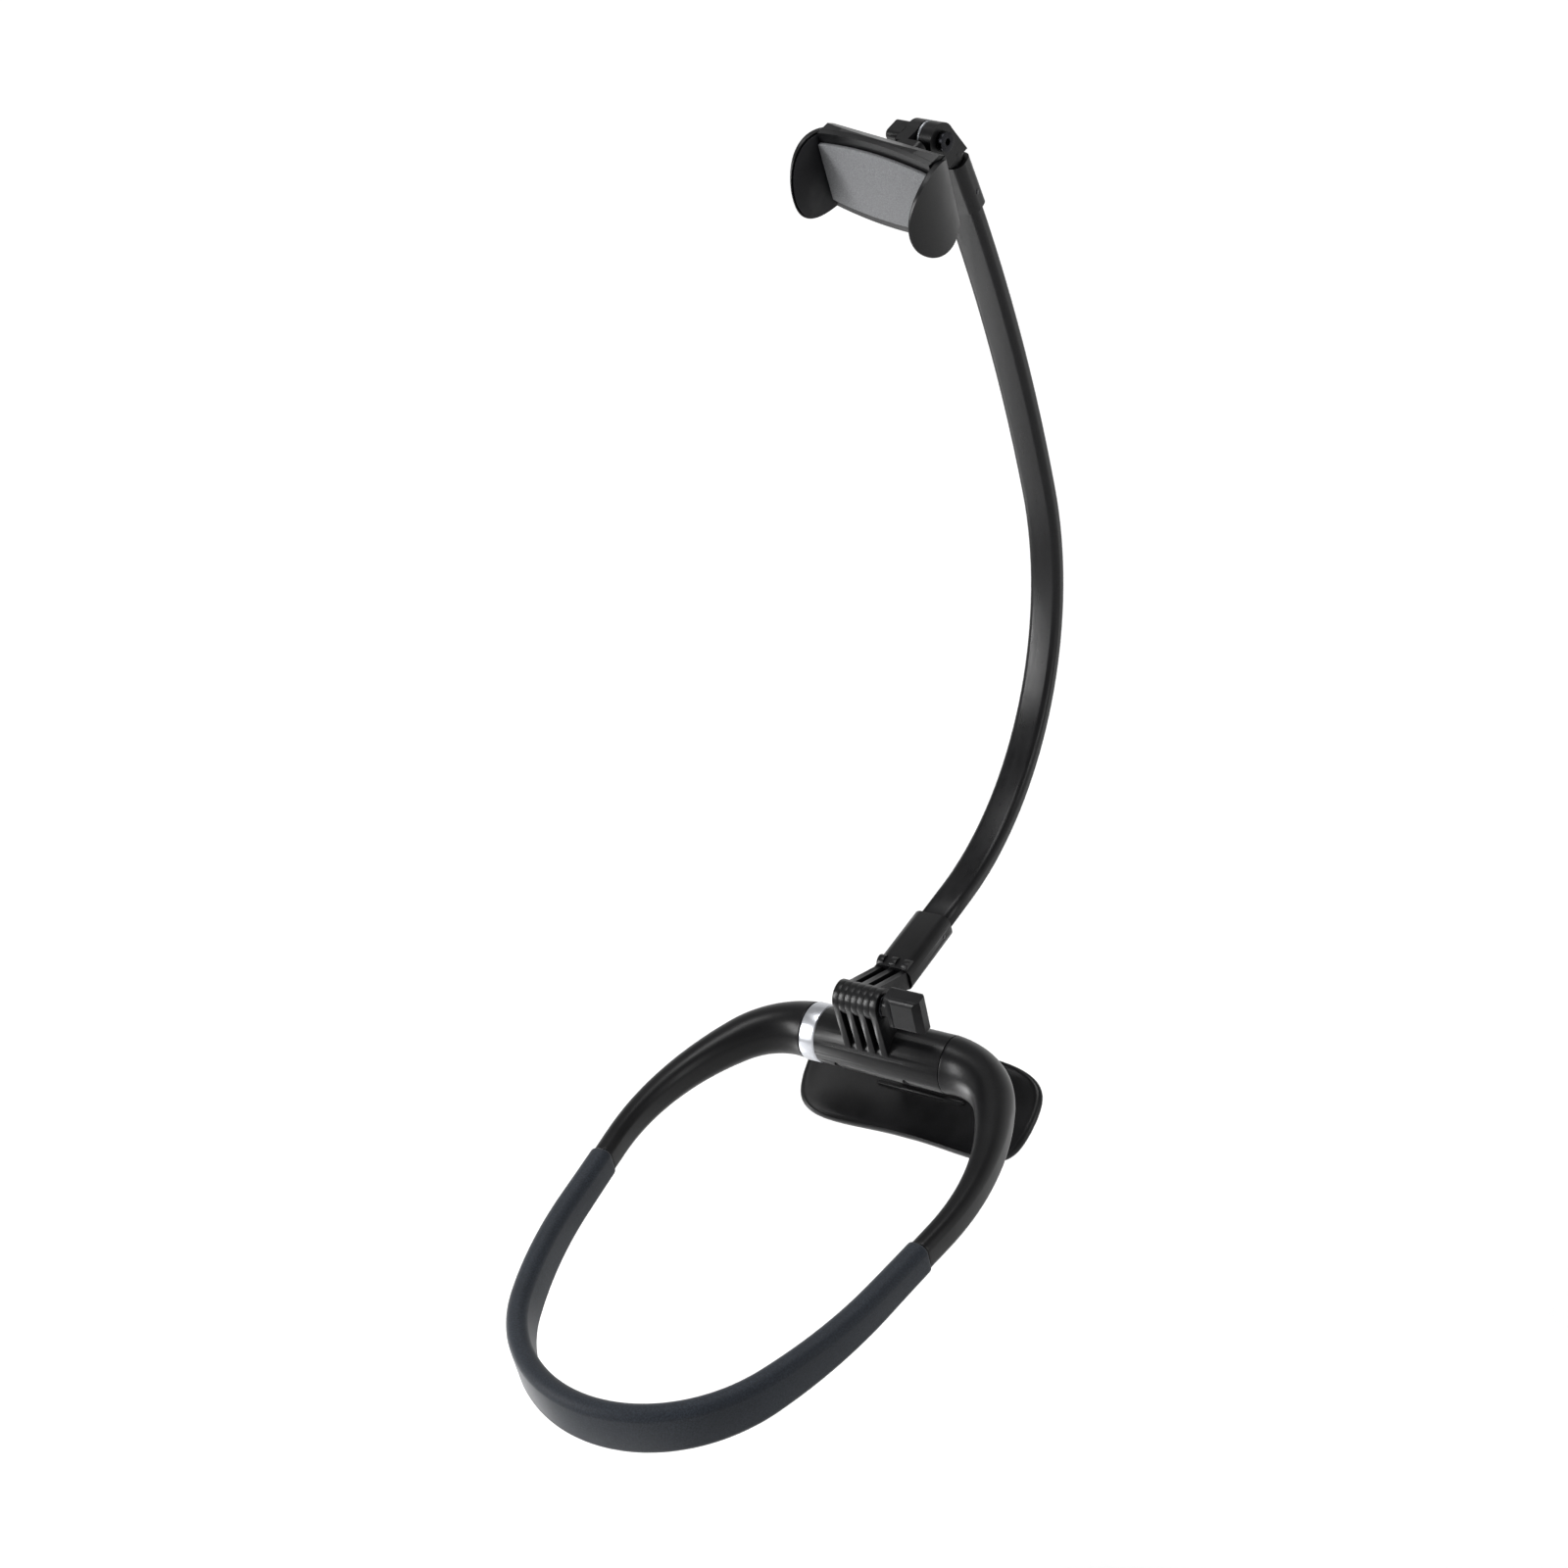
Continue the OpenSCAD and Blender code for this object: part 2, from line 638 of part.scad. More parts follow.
// Sweeps an outline, drawn with the bend's thickness along its first axis, along one run that starts up Z.
module sweep_run(run) {
    if (run[1] == 0) {
        rotate([0, 0, -90]) linear_extrude(run[0]) children();
    } else {
        translate([0, -run[0], 0]) rotate([0, 90, 0]) rotate([0, 0, 90])
            rotate_extrude(angle = run[1], $fn = 360) translate([run[0], 0]) children();
    }
}

// Moves to the end of a run.
module at_end(run) {
    if (run[1] == 0) {
        translate([0, 0, run[0]]) children();
    } else {
        translate([0, -run[0] * (1 - cos(run[1])), run[0] * sin(run[1])]) rotate([run[1], 0, 0]) children();
    }
}

module sweep_arm(runs, i = 0) {
    sweep_run(runs[i]) children();
    if (i < len(runs) - 1) at_end(runs[i]) sweep_arm(runs, i + 1) children();
}

module arm_section(play = 0) { rounded_square([arm_t + 2 * play, arm_w + 2 * play], arm_corner + play); }

module memory_section(play = 0) { square([memory_t + 2 * play, memory_w + 2 * play], center = true); }

module arm_sleeve() {
    color("#1b1b1d") at_pose(arm_start) sweep_arm(arm_runs) difference() {
        arm_section();
        memory_section(fit_play);
    }
}

module arm_memory_strip() {
    inner_top = top_turn - memory_short / top_r * 180 / PI;
    inner_runs = [[arm_straight - memory_short, 0], [bend_r, bend_turn], [top_r, inner_top]];
    color("#8f9399") at_pose(arm_start) translate([0, 0, memory_short])
        sweep_arm(inner_runs) memory_section();
}

socket_corner = 3.6;
lug_r = 3;
socket_back = 20;
pin_d = 2;
socket_start = along(arm_runs, -socket_back, arm_start);
socket_pin_pose = along(arm_runs, socket_grip / 2, arm_start);
tip_turn = tip_grip / top_r * 180 / PI;

module arm_lower_socket() {
    back = [socket_start[0] - hub_y, socket_start[1]];
    half = socket_t / 2 - socket_corner / 2;
    color("#1a1a1c") difference() {
        union() {
            at_pose(socket_start) sweep_run([socket_back + socket_grip, 0])
                rounded_square([socket_t, socket_w], socket_corner);
            at_hub() for (i = [0 : hub_fins - 2]) {
                fin(2 * i + 1, back + [over, -half], back + [over, half]);
                along_x(fin_t, -barrel_l / 2 + (2 * i + 1) * fin_pitch)
                    link_outline(back + [lug_r, half], lug_r, back + [3 * lug_r, 0], back);
            }
        }
        at_pose(arm_start) sweep_run([socket_grip + over, 0]) arm_section(fit_play);
        at_barrel() rod_x(bolt_d + 2 * run_play, -barrel_l, barrel_l);
        at_pose(socket_pin_pose) rod_x(pin_d + 2 * glue_gap, -socket_w, socket_w, 32);
    }
}

cap_h = 7;
chamber_h = 2.6;
chamber_d = 7.4;
post_d = 5;
post_groove_d = 3.8;
clip_t = 1;
clip_up = 1.2;
// Follows the chord of the arm's last stretch back from its end.
module at_grip(back) { at_pose(arm_tip) rotate([-tip_turn / 2, 0, 0]) translate([0, 0, -back]) children(); }

module arm_upper_socket() {
    color("#1a1a1c") difference() {
        at_pose(arm_tip) translate([0, 0, -tip_grip]) rotate([0, 0, -90]) linear_extrude(tip_grip + cap_h)
            rounded_square([tip_t, tip_w], socket_corner);
        at_grip(tip_grip + over) rotate([0, 0, -90]) linear_extrude(tip_grip + over + fit_play)
            arm_section(fit_play);
        at_grip(tip_grip / 2) rod_x(pin_d + 2 * glue_gap, -socket_w, socket_w, 32);
        at_pose(arm_tip) translate([0, 0, -over]) cylinder(d = chamber_d, h = chamber_h + over, $fn = 48);
        at_pose(arm_tip) cylinder(d = post_d + 2 * run_play, h = cap_h + over, $fn = 64);
    }
}

// Each pin crosses its socket and stops on the arm's sides.
module pin_pair(outer_w) {
    pin_start = arm_w / 2 + fit_play;
    rod_x(pin_d, pin_start, outer_w / 2, 32);
    rod_x(pin_d, -outer_w / 2, -pin_start, 32);
}

module arm_socket_pins() {
    color("#b9bcc1") {
        at_pose(socket_pin_pose) pin_pair(socket_w);
        at_grip(tip_grip / 2) pin_pair(tip_w);
    }
}

// Knuckle
swivel_washer_t = 0.6;
yoke_base_t = 3.4;
yoke_base_d = 12.4;
yoke_edge = 1;
yoke_z = cap_h + swivel_washer_t + glue_gap;
tooth_washer_t = 0.6;
ear_x = tooth_washer_t / 2 + glue_gap + tooth_h;
ear_hole_d = bolt_d + 2 * run_play;
knuckle = [-knuckle_back, knuckle_up];
tooth_w = 1.1;
tooth_root_d = 6.4;

module at_swivel() { at_pose(arm_tip) rotate([0, 0, clamp_pan]) children(); }

module at_knuckle_axis() { at_swivel() translate([0, knuckle[0], knuckle[1]]) children(); }

module at_knuckle() { at_knuckle_axis() rotate([clamp_tilt, 0, 0]) children(); }

module tooth_ring(x) {
    along_x(tooth_h + glue_gap, x) difference() {
        intersection() {
            circle(d = ear_d - tooth_h, $fn = 96);
            for (i = [0 : teeth - 1])
                rotate(360 / teeth * i) translate([0, -tooth_w / 2]) square([ear_d, tooth_w]);
        }
        circle(d = tooth_root_d, $fn = 48);
    }
}

module swivel_yoke() {
    foot = yoke_base_d / 2 - yoke_edge;
    foot_z = yoke_z + yoke_base_t / 2;
    color("#1c1c1e") at_swivel() difference() {
        union() {
            translate([0, 0, yoke_z]) cylinder(d = yoke_base_d, h = yoke_base_t, $fn = 96);
            translate([0, 0, clip_up - clip_t / 2])
                cylinder(d = post_d, h = yoke_z - clip_up + clip_t, $fn = 64);
            intersection() {
                along_x(ear_t, ear_x)
                    link_outline(knuckle, ear_d / 2, [foot, foot_z], [-foot, foot_z]);
                translate([0, 0, yoke_z]) linear_extrude(knuckle_up * 2) translate([0, -knuckle_up])
                    square([yoke_base_d, 2 * knuckle_up]);
            }
            translate([0, knuckle[0], knuckle[1]]) tooth_ring(ear_x - tooth_h);
        }
        translate([0, knuckle[0], knuckle[1]]) rod_x(ear_hole_d, -ear_d, ear_d);
        translate([0, 0, clip_up]) difference() {
            cylinder(d = post_d + over, h = clip_t + glue_gap, $fn = 64);
            translate([0, 0, -over]) cylinder(d = post_groove_d, h = clip_t + 3 * over, $fn = 64);
        }
    }
}

module swivel_washer() {
    color("#cfd1d5") at_swivel() translate([0, 0, cap_h]) difference() {
        cylinder(d = yoke_base_d - 2 * yoke_edge, h = swivel_washer_t, $fn = 96);
        translate([0, 0, -over])
            cylinder(d = post_d + 2 * run_play, h = swivel_washer_t + 2 * over, $fn = 64);
    }
}

module swivel_clip() {
    color("#b9bcc1") at_swivel() translate([0, 0, clip_up + glue_gap / 2]) difference() {
        cylinder(d = chamber_d - 4 * fit_play, h = clip_t, $fn = 64);
        translate([0, 0, -over]) cylinder(d = post_groove_d + 2 * glue_gap, h = clip_t + 2 * over, $fn = 64);
    }
}

module tooth_washer() {
    color("#d4d6da") at_knuckle_axis() difference() {
        rod_x(ear_d, -tooth_washer_t / 2, tooth_washer_t / 2, 96);
        rod_x(ear_hole_d, -over, over);
    }
}

screw_head_d = 7;
screw_head_l = 2.4;
screw_slot = 1.2;
nut_gap = 0.2;
thumb_x = -(ear_x + ear_t + nut_gap);
thumb_collar_l = 3;
thumb_l = 6.4;
thumb_w = 8.6;
thumb_t = 7;
thumb_corner = 2;
thumb_collar_d = 6.6;
module tilt_screw() {
    head_x = ear_x + ear_t + glue_gap;
    color("#c9ccd0") at_knuckle_axis() difference() {
        union() {
            rod_x(bolt_d, thumb_x - thumb_collar_l - thumb_l / 2, head_x + over);
            rod_x(screw_head_d, head_x, head_x + screw_head_l);
        }
        rod_x(bolt_d * 0.7, head_x + screw_slot, head_x + screw_head_l + over, 6);
    }
}

module tilt_thumb_nut() {
    color("#202023") at_knuckle_axis() difference() {
        union() {
            rod_x(thumb_collar_d, thumb_x - thumb_collar_l - over, thumb_x);
            along_x(thumb_l, thumb_x - thumb_collar_l - thumb_l)
                rounded_square([thumb_w, thumb_t], thumb_corner);
        }
        rod_x(bolt_d + 2 * run_play, thumb_x - thumb_collar_l - thumb_l / 2 - glue_gap, 0);
    }
}

// Clamp levels, measured behind the face of the grip pad
cover_t = 2;
cavity_d = 4.4;
case_wall = 2;
cover_y = grip_t + glue_gap;
cavity_y = cover_y + cover_t;
wall_y = cavity_y + cavity_d;
case_y = wall_y + case_wall;
neck_d = 9;
neck_boss_d = 16;
neck_boss_l = 5.6;
neck_clip_t = 0.8;
neck_clip_d = 12;
neck_groove_d = 7.4;
neck_tail = 1.3;
neck_end_y = wall_y - neck_tail;
block_y = 8.4;
block_d = pad_reach - case_y - neck_boss_l - end_gap - block_y;
block_h = 11.5;
bridge_w = ear_x + ear_t;

module clamp_neck() {
    color("#1c1c1e") at_knuckle() difference() {
        union() {
            rod_x(ear_d, -ear_x - ear_t, -ear_x, 96);
            tooth_ring(-ear_x - glue_gap);
            translate([-bridge_w, -block_y - over, -block_h / 2]) cube([ear_t, block_y, block_h]);
            translate([0, -block_y, 0]) rotate([90, 0, 0]) linear_extrude(block_d)
                rounded_square([2 * bridge_w, block_h], block_h / 4);
            rod_y(neck_d, -pad_reach + neck_end_y, -block_y);
        }
        rod_x(ear_hole_d, -ear_d, ear_d);
        translate([0, -pad_reach + wall_y - neck_clip_t - fit_play, 0]) difference() {
            rod_y(neck_d + over, 0, neck_clip_t + glue_gap);
            rod_y(neck_groove_d, -over, neck_clip_t + over);
        }
    }
}

module at_clamp() { at_knuckle() rotate([0, clamp_roll, 0]) translate([0, -pad_reach, 0]) children(); }

module clamp_neck_clip() {
    clip_y = wall_y - neck_clip_t - fit_play + glue_gap / 2;
    color("#b9bcc1") at_knuckle() translate([0, clip_y - pad_reach, 0]) difference() {
        rod_y(neck_clip_d, 0, neck_clip_t);
        rod_y(neck_groove_d + 2 * glue_gap, -over, neck_clip_t + over);
    }
}

// Outlines of the clamp
jaw_play = 0.3;
case_half = jaw_gap / 2 - jaw_play;
bulge_r = (pow(case_half, 2) + pow(case_bulge, 2)) / (2 * case_bulge);
side_wall = 2.2;
tongue_h = 12;
tongue_t = 2.4;
slide_play = 0.25;
tongue_y = cavity_y + slide_play;
tongue_hold = 10.6;
tongue_l = jaw_travel + tongue_hold;
spring_d = 3.2;
spring_web = 0.6;
spring_z = tongue_h / 2 + spring_d / 2 + 2 * slide_play + spring_web;
spring_y = cavity_y + slide_play + spring_d / 2;
cavity_half_h = spring_z + spring_d / 2 + slide_play;
case_screw_d = 1.6;
case_screw_head_d = 2.8;
case_screw_head_l = 1.2;
case_screw_x_share = 0.7;
case_screw_x = case_half * case_screw_x_share;
case_screw_z = (case_rear_h / 2 + cavity_half_h) / 2;
case_screw_grip = 1.2;
case_screw_tip = cavity_y - case_screw_grip;

// A rectangle whose long edges bulge by case_bulge.
module bulged(w, h) {
    intersection() {
        square([w, h], center = true);
        translate([0, h / 2 - bulge_r]) circle(r = bulge_r, $fn = 360);
        translate([0, bulge_r - h / 2]) circle(r = bulge_r, $fn = 360);
    }
}

module case_outline() { bulged(2 * case_half, case_h); }

module slab_y(y, t) { translate([0, y + t, 0]) rotate([90, 0, 0]) linear_extrude(t) children(); }

// Side outline of the housing, whose back corners slope away.
module case_side() {
    polygon([
        [0, case_h / 2], [case_y * case_slope_share, case_h / 2], [case_y, case_rear_h / 2],
        [case_y, -case_rear_h / 2], [case_y * case_slope_share, -case_h / 2], [0, -case_h / 2]]);
}

// Jaw: a crescent seen from above, cut to a round outline seen from the side.
case_slope_share = 0.42;
jaw_lip = 3;
clamp_w = jaw_gap + 2 * jaw_bulge;
outer_chord = (case_y + jaw_depth + jaw_lip) / 2;
outer_r = (pow(outer_chord, 2) + pow(jaw_bulge, 2)) / (2 * jaw_bulge);
inner_chord = (grip_t + jaw_depth) / 2;
inner_r = (pow(inner_chord, 2) + pow(jaw_hollow, 2)) / (2 * jaw_hollow);

module hollow_circle(r) {
    translate([jaw_gap / 2 + jaw_hollow - inner_r, grip_t - inner_chord]) circle(r = r, $fn = 180);
}

module jaw_plan(hollow_r) {
    difference() {
        intersection() {
            translate([clamp_w / 2 - outer_r, case_y - outer_chord]) circle(r = outer_r, $fn = 180);
            translate([jaw_gap / 2, -2 * jaw_depth]) square([clamp_w, 2 * jaw_depth + case_y]);
        }
        hollow_circle(hollow_r);
    }
}

module jaw_side(trim = 0) {
    translate([jaw_d / 2 - jaw_depth, -jaw_drop]) circle(d = jaw_d - 2 * trim, $fn = 180);
}

module jaw() {
    intersection() {
        translate([0, 0, -jaw_d]) linear_extrude(2 * jaw_d) jaw_plan(inner_r + liner_t + glue_gap);
        along_x(clamp_w, 0) jaw_side();
    }
}

module jaw_liner() {
    intersection() {
        translate([0, 0, -jaw_d]) linear_extrude(2 * jaw_d) difference() {
            hollow_circle(inner_r + liner_t);
            hollow_circle(inner_r);
            translate([-clamp_w, -clamp_w]) square([clamp_w + jaw_gap / 2 + glue_gap, 2 * clamp_w]);
        }
        along_x(clamp_w, 0) jaw_side(liner_t);
    }
}

module at_case_screws() {
    for (x = [-case_screw_x, case_screw_x])
        for (z = [-case_screw_z, case_screw_z]) translate([x, 0, z]) children();
}

module clamp_base() {
    color("#1b1b1d") at_clamp() difference() {
        union() {
            intersection() {
                slab_y(cavity_y, cavity_d + case_wall) case_outline();
                along_x(2 * case_half, -case_half) case_side();
            }
            jaw();
            translate([case_half - over, cavity_y, -case_rear_h / 2])
                cube([over + jaw_play + glue_gap, cavity_d + case_wall, case_rear_h]);
            rod_y(neck_boss_d, case_y - over, case_y + neck_boss_l, 96);
        }
        translate([-case_half + side_wall, cavity_y - over, -cavity_half_h])
            cube([2 * case_half - 2 * side_wall, cavity_d + over, 2 * cavity_half_h]);
        translate([-case_half - over, cavity_y - over, -tongue_h / 2 - slide_play])
            cube([side_wall + 2 * over, tongue_t + 2 * slide_play + over, tongue_h + 2 * slide_play]);
        for (z = [-spring_z, spring_z]) {
            translate([0, spring_y, z])
                rod_x(spring_d + 2 * slide_play, -case_half - over, -case_half + side_wall + over, 32);
            translate([-case_half - over, cavity_y - over, z - spring_d / 2 - slide_play])
                cube([side_wall + 2 * over, spring_y - cavity_y + over, spring_d + 2 * slide_play]);
        }
        rod_y(neck_d + 2 * run_play, 0, case_y + neck_boss_l + over);
        at_case_screws() {
            rod_y(case_screw_d + 2 * glue_gap, cavity_y - over, case_y + over, 32);
            rod_y(case_screw_head_d + 2 * glue_gap, case_y - case_screw_head_l - glue_gap, case_y + over, 32);
        }
    }
}

module clamp_front_cover() {
    color("#222225") at_clamp() difference() {
        slab_y(cover_y, cover_t - glue_gap) case_outline();
        at_case_screws() rod_y(case_screw_d + 2 * glue_gap, case_screw_tip - glue_gap, cavity_y + over, 32);
    }
}

module clamp_screws() {
    color("#b9bcc1") at_clamp() at_case_screws() {
        rod_y(case_screw_d, case_screw_tip, case_y - case_screw_head_l + glue_gap, 32);
        rod_y(case_screw_head_d, case_y - case_screw_head_l, case_y, 32);
    }
}

grip_corner = 2;
grip_edge = 0.2;
module grip_pad() {
    color("#85868a") at_clamp() slab_y(0, grip_t) intersection() {
        bulged(2 * case_half, grip_h);
        rounded_square([2 * (case_half - grip_edge), grip_h], grip_corner);
    }
}

module jaw_springs() {
    color("#aeb2b7") at_clamp() for (z = [-spring_z, spring_z]) translate([0, spring_y, z])
        rod_x(spring_d, -jaw_gap / 2 + glue_gap, case_half - side_wall - glue_gap, 32);
}

module fixed_jaw_liner() { color("#3a3b3f") at_clamp() jaw_liner(); }

module sliding_jaw() {
    color("#1b1b1d") at_clamp() union() {
        mirror([1, 0, 0]) jaw();
        translate([-jaw_gap / 2 - over, tongue_y, -tongue_h / 2]) cube([tongue_l + over, tongue_t, tongue_h]);
    }
}

module sliding_jaw_liner() { color("#3a3b3f") at_clamp() mirror([1, 0, 0]) jaw_liner(); }

neck_pad();
loop_spring_strip();
right_loop_arm();
left_loop_arm();
ring_collar();
hub_shaft();
hub_upper_shell();
hub_lower_shell();
hub_screws();
friction_bushes();
chest_plate();
chest_plate_screws();
hinge_nut();
hinge_bolt();
hinge_washer();
hinge_thumb_knob();
arm_lower_socket();
arm_sleeve();
arm_memory_strip();
arm_upper_socket();
arm_socket_pins();
swivel_yoke();
swivel_washer();
swivel_clip();
tooth_washer();
tilt_screw();
tilt_thumb_nut();
clamp_neck();
clamp_neck_clip();
clamp_base();
clamp_front_cover();
grip_pad();
clamp_screws();
jaw_springs();
fixed_jaw_liner();
sliding_jaw();
sliding_jaw_liner();
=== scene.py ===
"""Neck phone holder: finishes, a finer loop and chest plate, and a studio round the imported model."""

import math

import bpy
from mathutils import Matrix, Vector


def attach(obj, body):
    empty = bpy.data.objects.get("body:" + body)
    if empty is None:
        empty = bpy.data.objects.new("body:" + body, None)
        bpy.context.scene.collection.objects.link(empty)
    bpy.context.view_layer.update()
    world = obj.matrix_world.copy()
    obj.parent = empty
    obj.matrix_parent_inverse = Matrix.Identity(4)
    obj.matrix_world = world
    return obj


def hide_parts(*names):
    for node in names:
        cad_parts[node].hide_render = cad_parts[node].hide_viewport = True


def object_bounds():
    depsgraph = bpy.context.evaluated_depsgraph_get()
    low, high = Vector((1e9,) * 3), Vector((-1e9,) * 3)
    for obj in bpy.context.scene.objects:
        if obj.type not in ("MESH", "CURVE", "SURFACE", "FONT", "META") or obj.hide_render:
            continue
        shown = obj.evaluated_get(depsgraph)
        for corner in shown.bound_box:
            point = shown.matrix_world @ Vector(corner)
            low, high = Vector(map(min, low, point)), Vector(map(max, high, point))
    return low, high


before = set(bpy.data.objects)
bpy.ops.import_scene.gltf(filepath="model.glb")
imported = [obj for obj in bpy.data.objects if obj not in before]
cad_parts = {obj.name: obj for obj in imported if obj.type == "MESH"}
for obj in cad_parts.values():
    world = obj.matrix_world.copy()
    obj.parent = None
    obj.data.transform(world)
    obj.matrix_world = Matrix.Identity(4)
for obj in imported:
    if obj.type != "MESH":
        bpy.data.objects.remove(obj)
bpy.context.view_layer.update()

MM = 0.001

# Route of the loop

# Each run is (size, turn). Without a turn it is a straight of that length in millimetres, and with one a
# curve of that radius through that many degrees. They follow the loop's right half from the hub's middle.
HUB_RUN = (30.5, 0.0)
SIDE_RUN = (33.0, 0.0)
OPEN_RUNS = [HUB_RUN, (29.0, 59.0), (100.0, 39.0), SIDE_RUN, (175.0, 16.0)]
# The pad starts this far along the side's straight.
PAD_START_SHARE = 0.3
# Thickness of the pad behind the neck.
PAD_T = 7.0
# The pose (x, y, heading) in the middle of the hub.
HUB_MIDDLE = (0.0, 0.0, 0.0)


def run_end(pose, size, turn):
    """The pose at the end of a straight, or of a curve to the right, that starts from a pose."""
    x, y, heading = pose
    before = math.radians(heading)
    if turn == 0:
        return x + size * math.cos(before), y + size * math.sin(before), heading
    after = math.radians(heading - turn)
    side = size * (math.sin(after) - math.sin(before))
    ahead = size * (math.cos(after) - math.cos(before))
    return x - side, y + ahead, heading - turn


def run_length(size, turn):
    """How long a run is along its middle."""
    return size if turn == 0 else size * math.radians(turn)


def loop_route():
    """The open runs, and the curve that meets the middle plane squarely behind the neck."""
    pose = HUB_MIDDLE
    for run in OPEN_RUNS:
        pose = run_end(pose, *run)
    rear_turn = 180.0 + pose[2]
    return OPEN_RUNS + [(pose[0] / math.sin(math.radians(rear_turn)), rear_turn)]


ROUTE = loop_route()
HALF = sum(run_length(*run) for run in ROUTE)
PAD_START = sum(run_length(*run) for run in ROUTE[:ROUTE.index(SIDE_RUN)]) + SIDE_RUN[0] * PAD_START_SHARE


def half_pose(s):
    """The pose at distance s along the right half of the loop."""
    pose = HUB_MIDDLE
    for size, turn in ROUTE[:-1]:
        span = run_length(size, turn)
        if s <= span:
            break
        pose = run_end(pose, size, turn)
        s -= span
    else:
        size, turn = ROUTE[-1]
    return run_end(pose, s, 0) if turn == 0 else run_end(pose, size, math.degrees(s / size))


# How far the hub's middle lies in front of the pad's inner face, where the model has its origin.
HUB_Y = -half_pose(HALF)[1] - PAD_T / 2


def loop_pose(s):
    """The pose at distance s along the whole loop. Its left half mirrors the right one."""
    if s <= HALF:
        x, y, heading = half_pose(s)
    else:
        x, y, heading = half_pose(2 * HALF - s)
        x, heading = -x, -heading
    return x, y + HUB_Y, heading


# Outlines and skins


def mix(a, b, share):
    """The value that lies a share of the way from a to b."""
    return a + (b - a) * share


def rounded_outline(width, height, radius, corner_points):
    """Points of a rounded rectangle, anticlockwise from its right side."""
    points = []
    for quarter in range(4):
        side_x = 1 if quarter in (0, 3) else -1
        side_y = 1 if quarter < 2 else -1
        for k in range(corner_points):
            a = math.radians(90 * (quarter + (k + 0.5) / corner_points))
            points.append((side_x * (width / 2 - radius) + radius * math.cos(a),
                           side_y * (height / 2 - radius) + radius * math.sin(a)))
    return points


def crowned(points, width, height, crown):
    """Swells the long faces of an outline by up to crown."""
    return [(x + math.copysign(crown * (1 - (2 * y / height) ** 2), x) * min(1, abs(2 * x / width)), y)
            for x, y in points]


def ring_at(pose, points):
    """An outline set square across the loop at a pose."""
    x, y, heading = pose
    a = math.radians(heading)
    return [(x - q * math.sin(a), y + q * math.cos(a), z) for q, z in points]


def mesh_object(name, points, faces):
    """A smooth mesh from points in millimetres."""
    mesh = bpy.data.meshes.new(name)
    mesh.from_pydata([Vector(p) * MM for p in points], [], faces)
    mesh.validate()
    mesh.polygons.foreach_set("use_smooth", [True] * len(mesh.polygons))
    mesh.update()
    piece = bpy.data.objects.new(name, mesh)
    bpy.context.scene.collection.objects.link(piece)
    return piece


def loft(name, rings):
    """A closed skin over rings of equally many points, with its faces outward."""
    count, around = len(rings), len(rings[0])
    faces = []
    for i in range(count - 1):
        here, there = i * around, (i + 1) * around
        for j in range(around):
            k = (j + 1) % around
            faces.append((here + j, here + k, there + k, there + j))
    faces.append(tuple(range(around - 1, -1, -1)))
    faces.append(tuple(range((count - 1) * around, count * around)))
    return mesh_object(name, [p for ring in rings for p in ring], faces)


# Shares of a lip at which it is drawn, closer together where it turns fastest.
LIP_SHARES = (0.0, 0.12, 0.35, 0.65, 1.0)


def stations(start, end, count, lip):
    """Places along the loop, each with its inset. Extra ones round both ends over a lip."""
    insets = [lip * (1 - math.sqrt(1 - (1 - share) ** 2)) for share in LIP_SHARES]
    first = [(start + lip * share, inset) for share, inset in zip(LIP_SHARES, insets)]
    last = [(end - lip * share, inset) for share, inset in zip(LIP_SHARES, insets)]
    middle = [(mix(start + lip, end - lip, k / count), 0.0) for k in range(1, count)]
    return first + middle + last[::-1]


# Loop arms and neck pad

# Sizes in millimetres, as the part's source has them: R is a radius, T a thickness and H a height.
HUB_R = 11.0
ARM_END_T = 7.6
ARM_END_H = 11.6
PAD_END_T = 8.6
PAD_END_H = 12.6
PAD_H = 19.5
LOOP_EDGE_R = 3.4
# The pad keeps its full size over a long stretch and draws in near its ends.
PAD_FULLNESS = 1.5
# Swell of the pad's long faces, and the lips that round the ends of arms and pad.
PAD_CROWN = 0.35
PAD_LIP = 1.1
ARM_LIP = 0.5
# How finely both are drawn.
CORNER_POINTS = 14
ARM_RINGS = 110
PAD_RINGS = 220


def loop_arm(name, mirrored):
    """A loop arm, round at the hub and flat where the pad takes over."""
    hub_end = HUB_RUN[0]
    rings = []
    for s, inset in stations(hub_end, PAD_START, ARM_RINGS, ARM_LIP):
        share = (s - hub_end) / (PAD_START - hub_end)
        eased = share * (2 - share)
        width = mix(2 * HUB_R, ARM_END_T, eased) - 2 * inset
        height = mix(2 * HUB_R, ARM_END_H, eased) - 2 * inset
        radius = mix(HUB_R, LOOP_EDGE_R, eased) - inset
        ring = ring_at(loop_pose(s), rounded_outline(width, height, radius, CORNER_POINTS))
        rings.append([(-x, y, z) for x, y, z in reversed(ring)] if mirrored else ring)
    return loft(name, rings)


def pad_outline(s, inset):
    """The pad's cross-section at distance s along the loop, drawn in by inset."""
    wave = math.sin(math.pi * (s - PAD_START) / (2 * (HALF - PAD_START)))
    full = wave ** 2 * mix(PAD_FULLNESS, 1.0, wave)
    width, height = mix(PAD_END_T, PAD_T, full), mix(PAD_END_H, PAD_H, full)
    outline = rounded_outline(width - 2 * inset, height - 2 * inset, LOOP_EDGE_R - inset, CORNER_POINTS)
    return crowned(outline, width, height, PAD_CROWN * full)


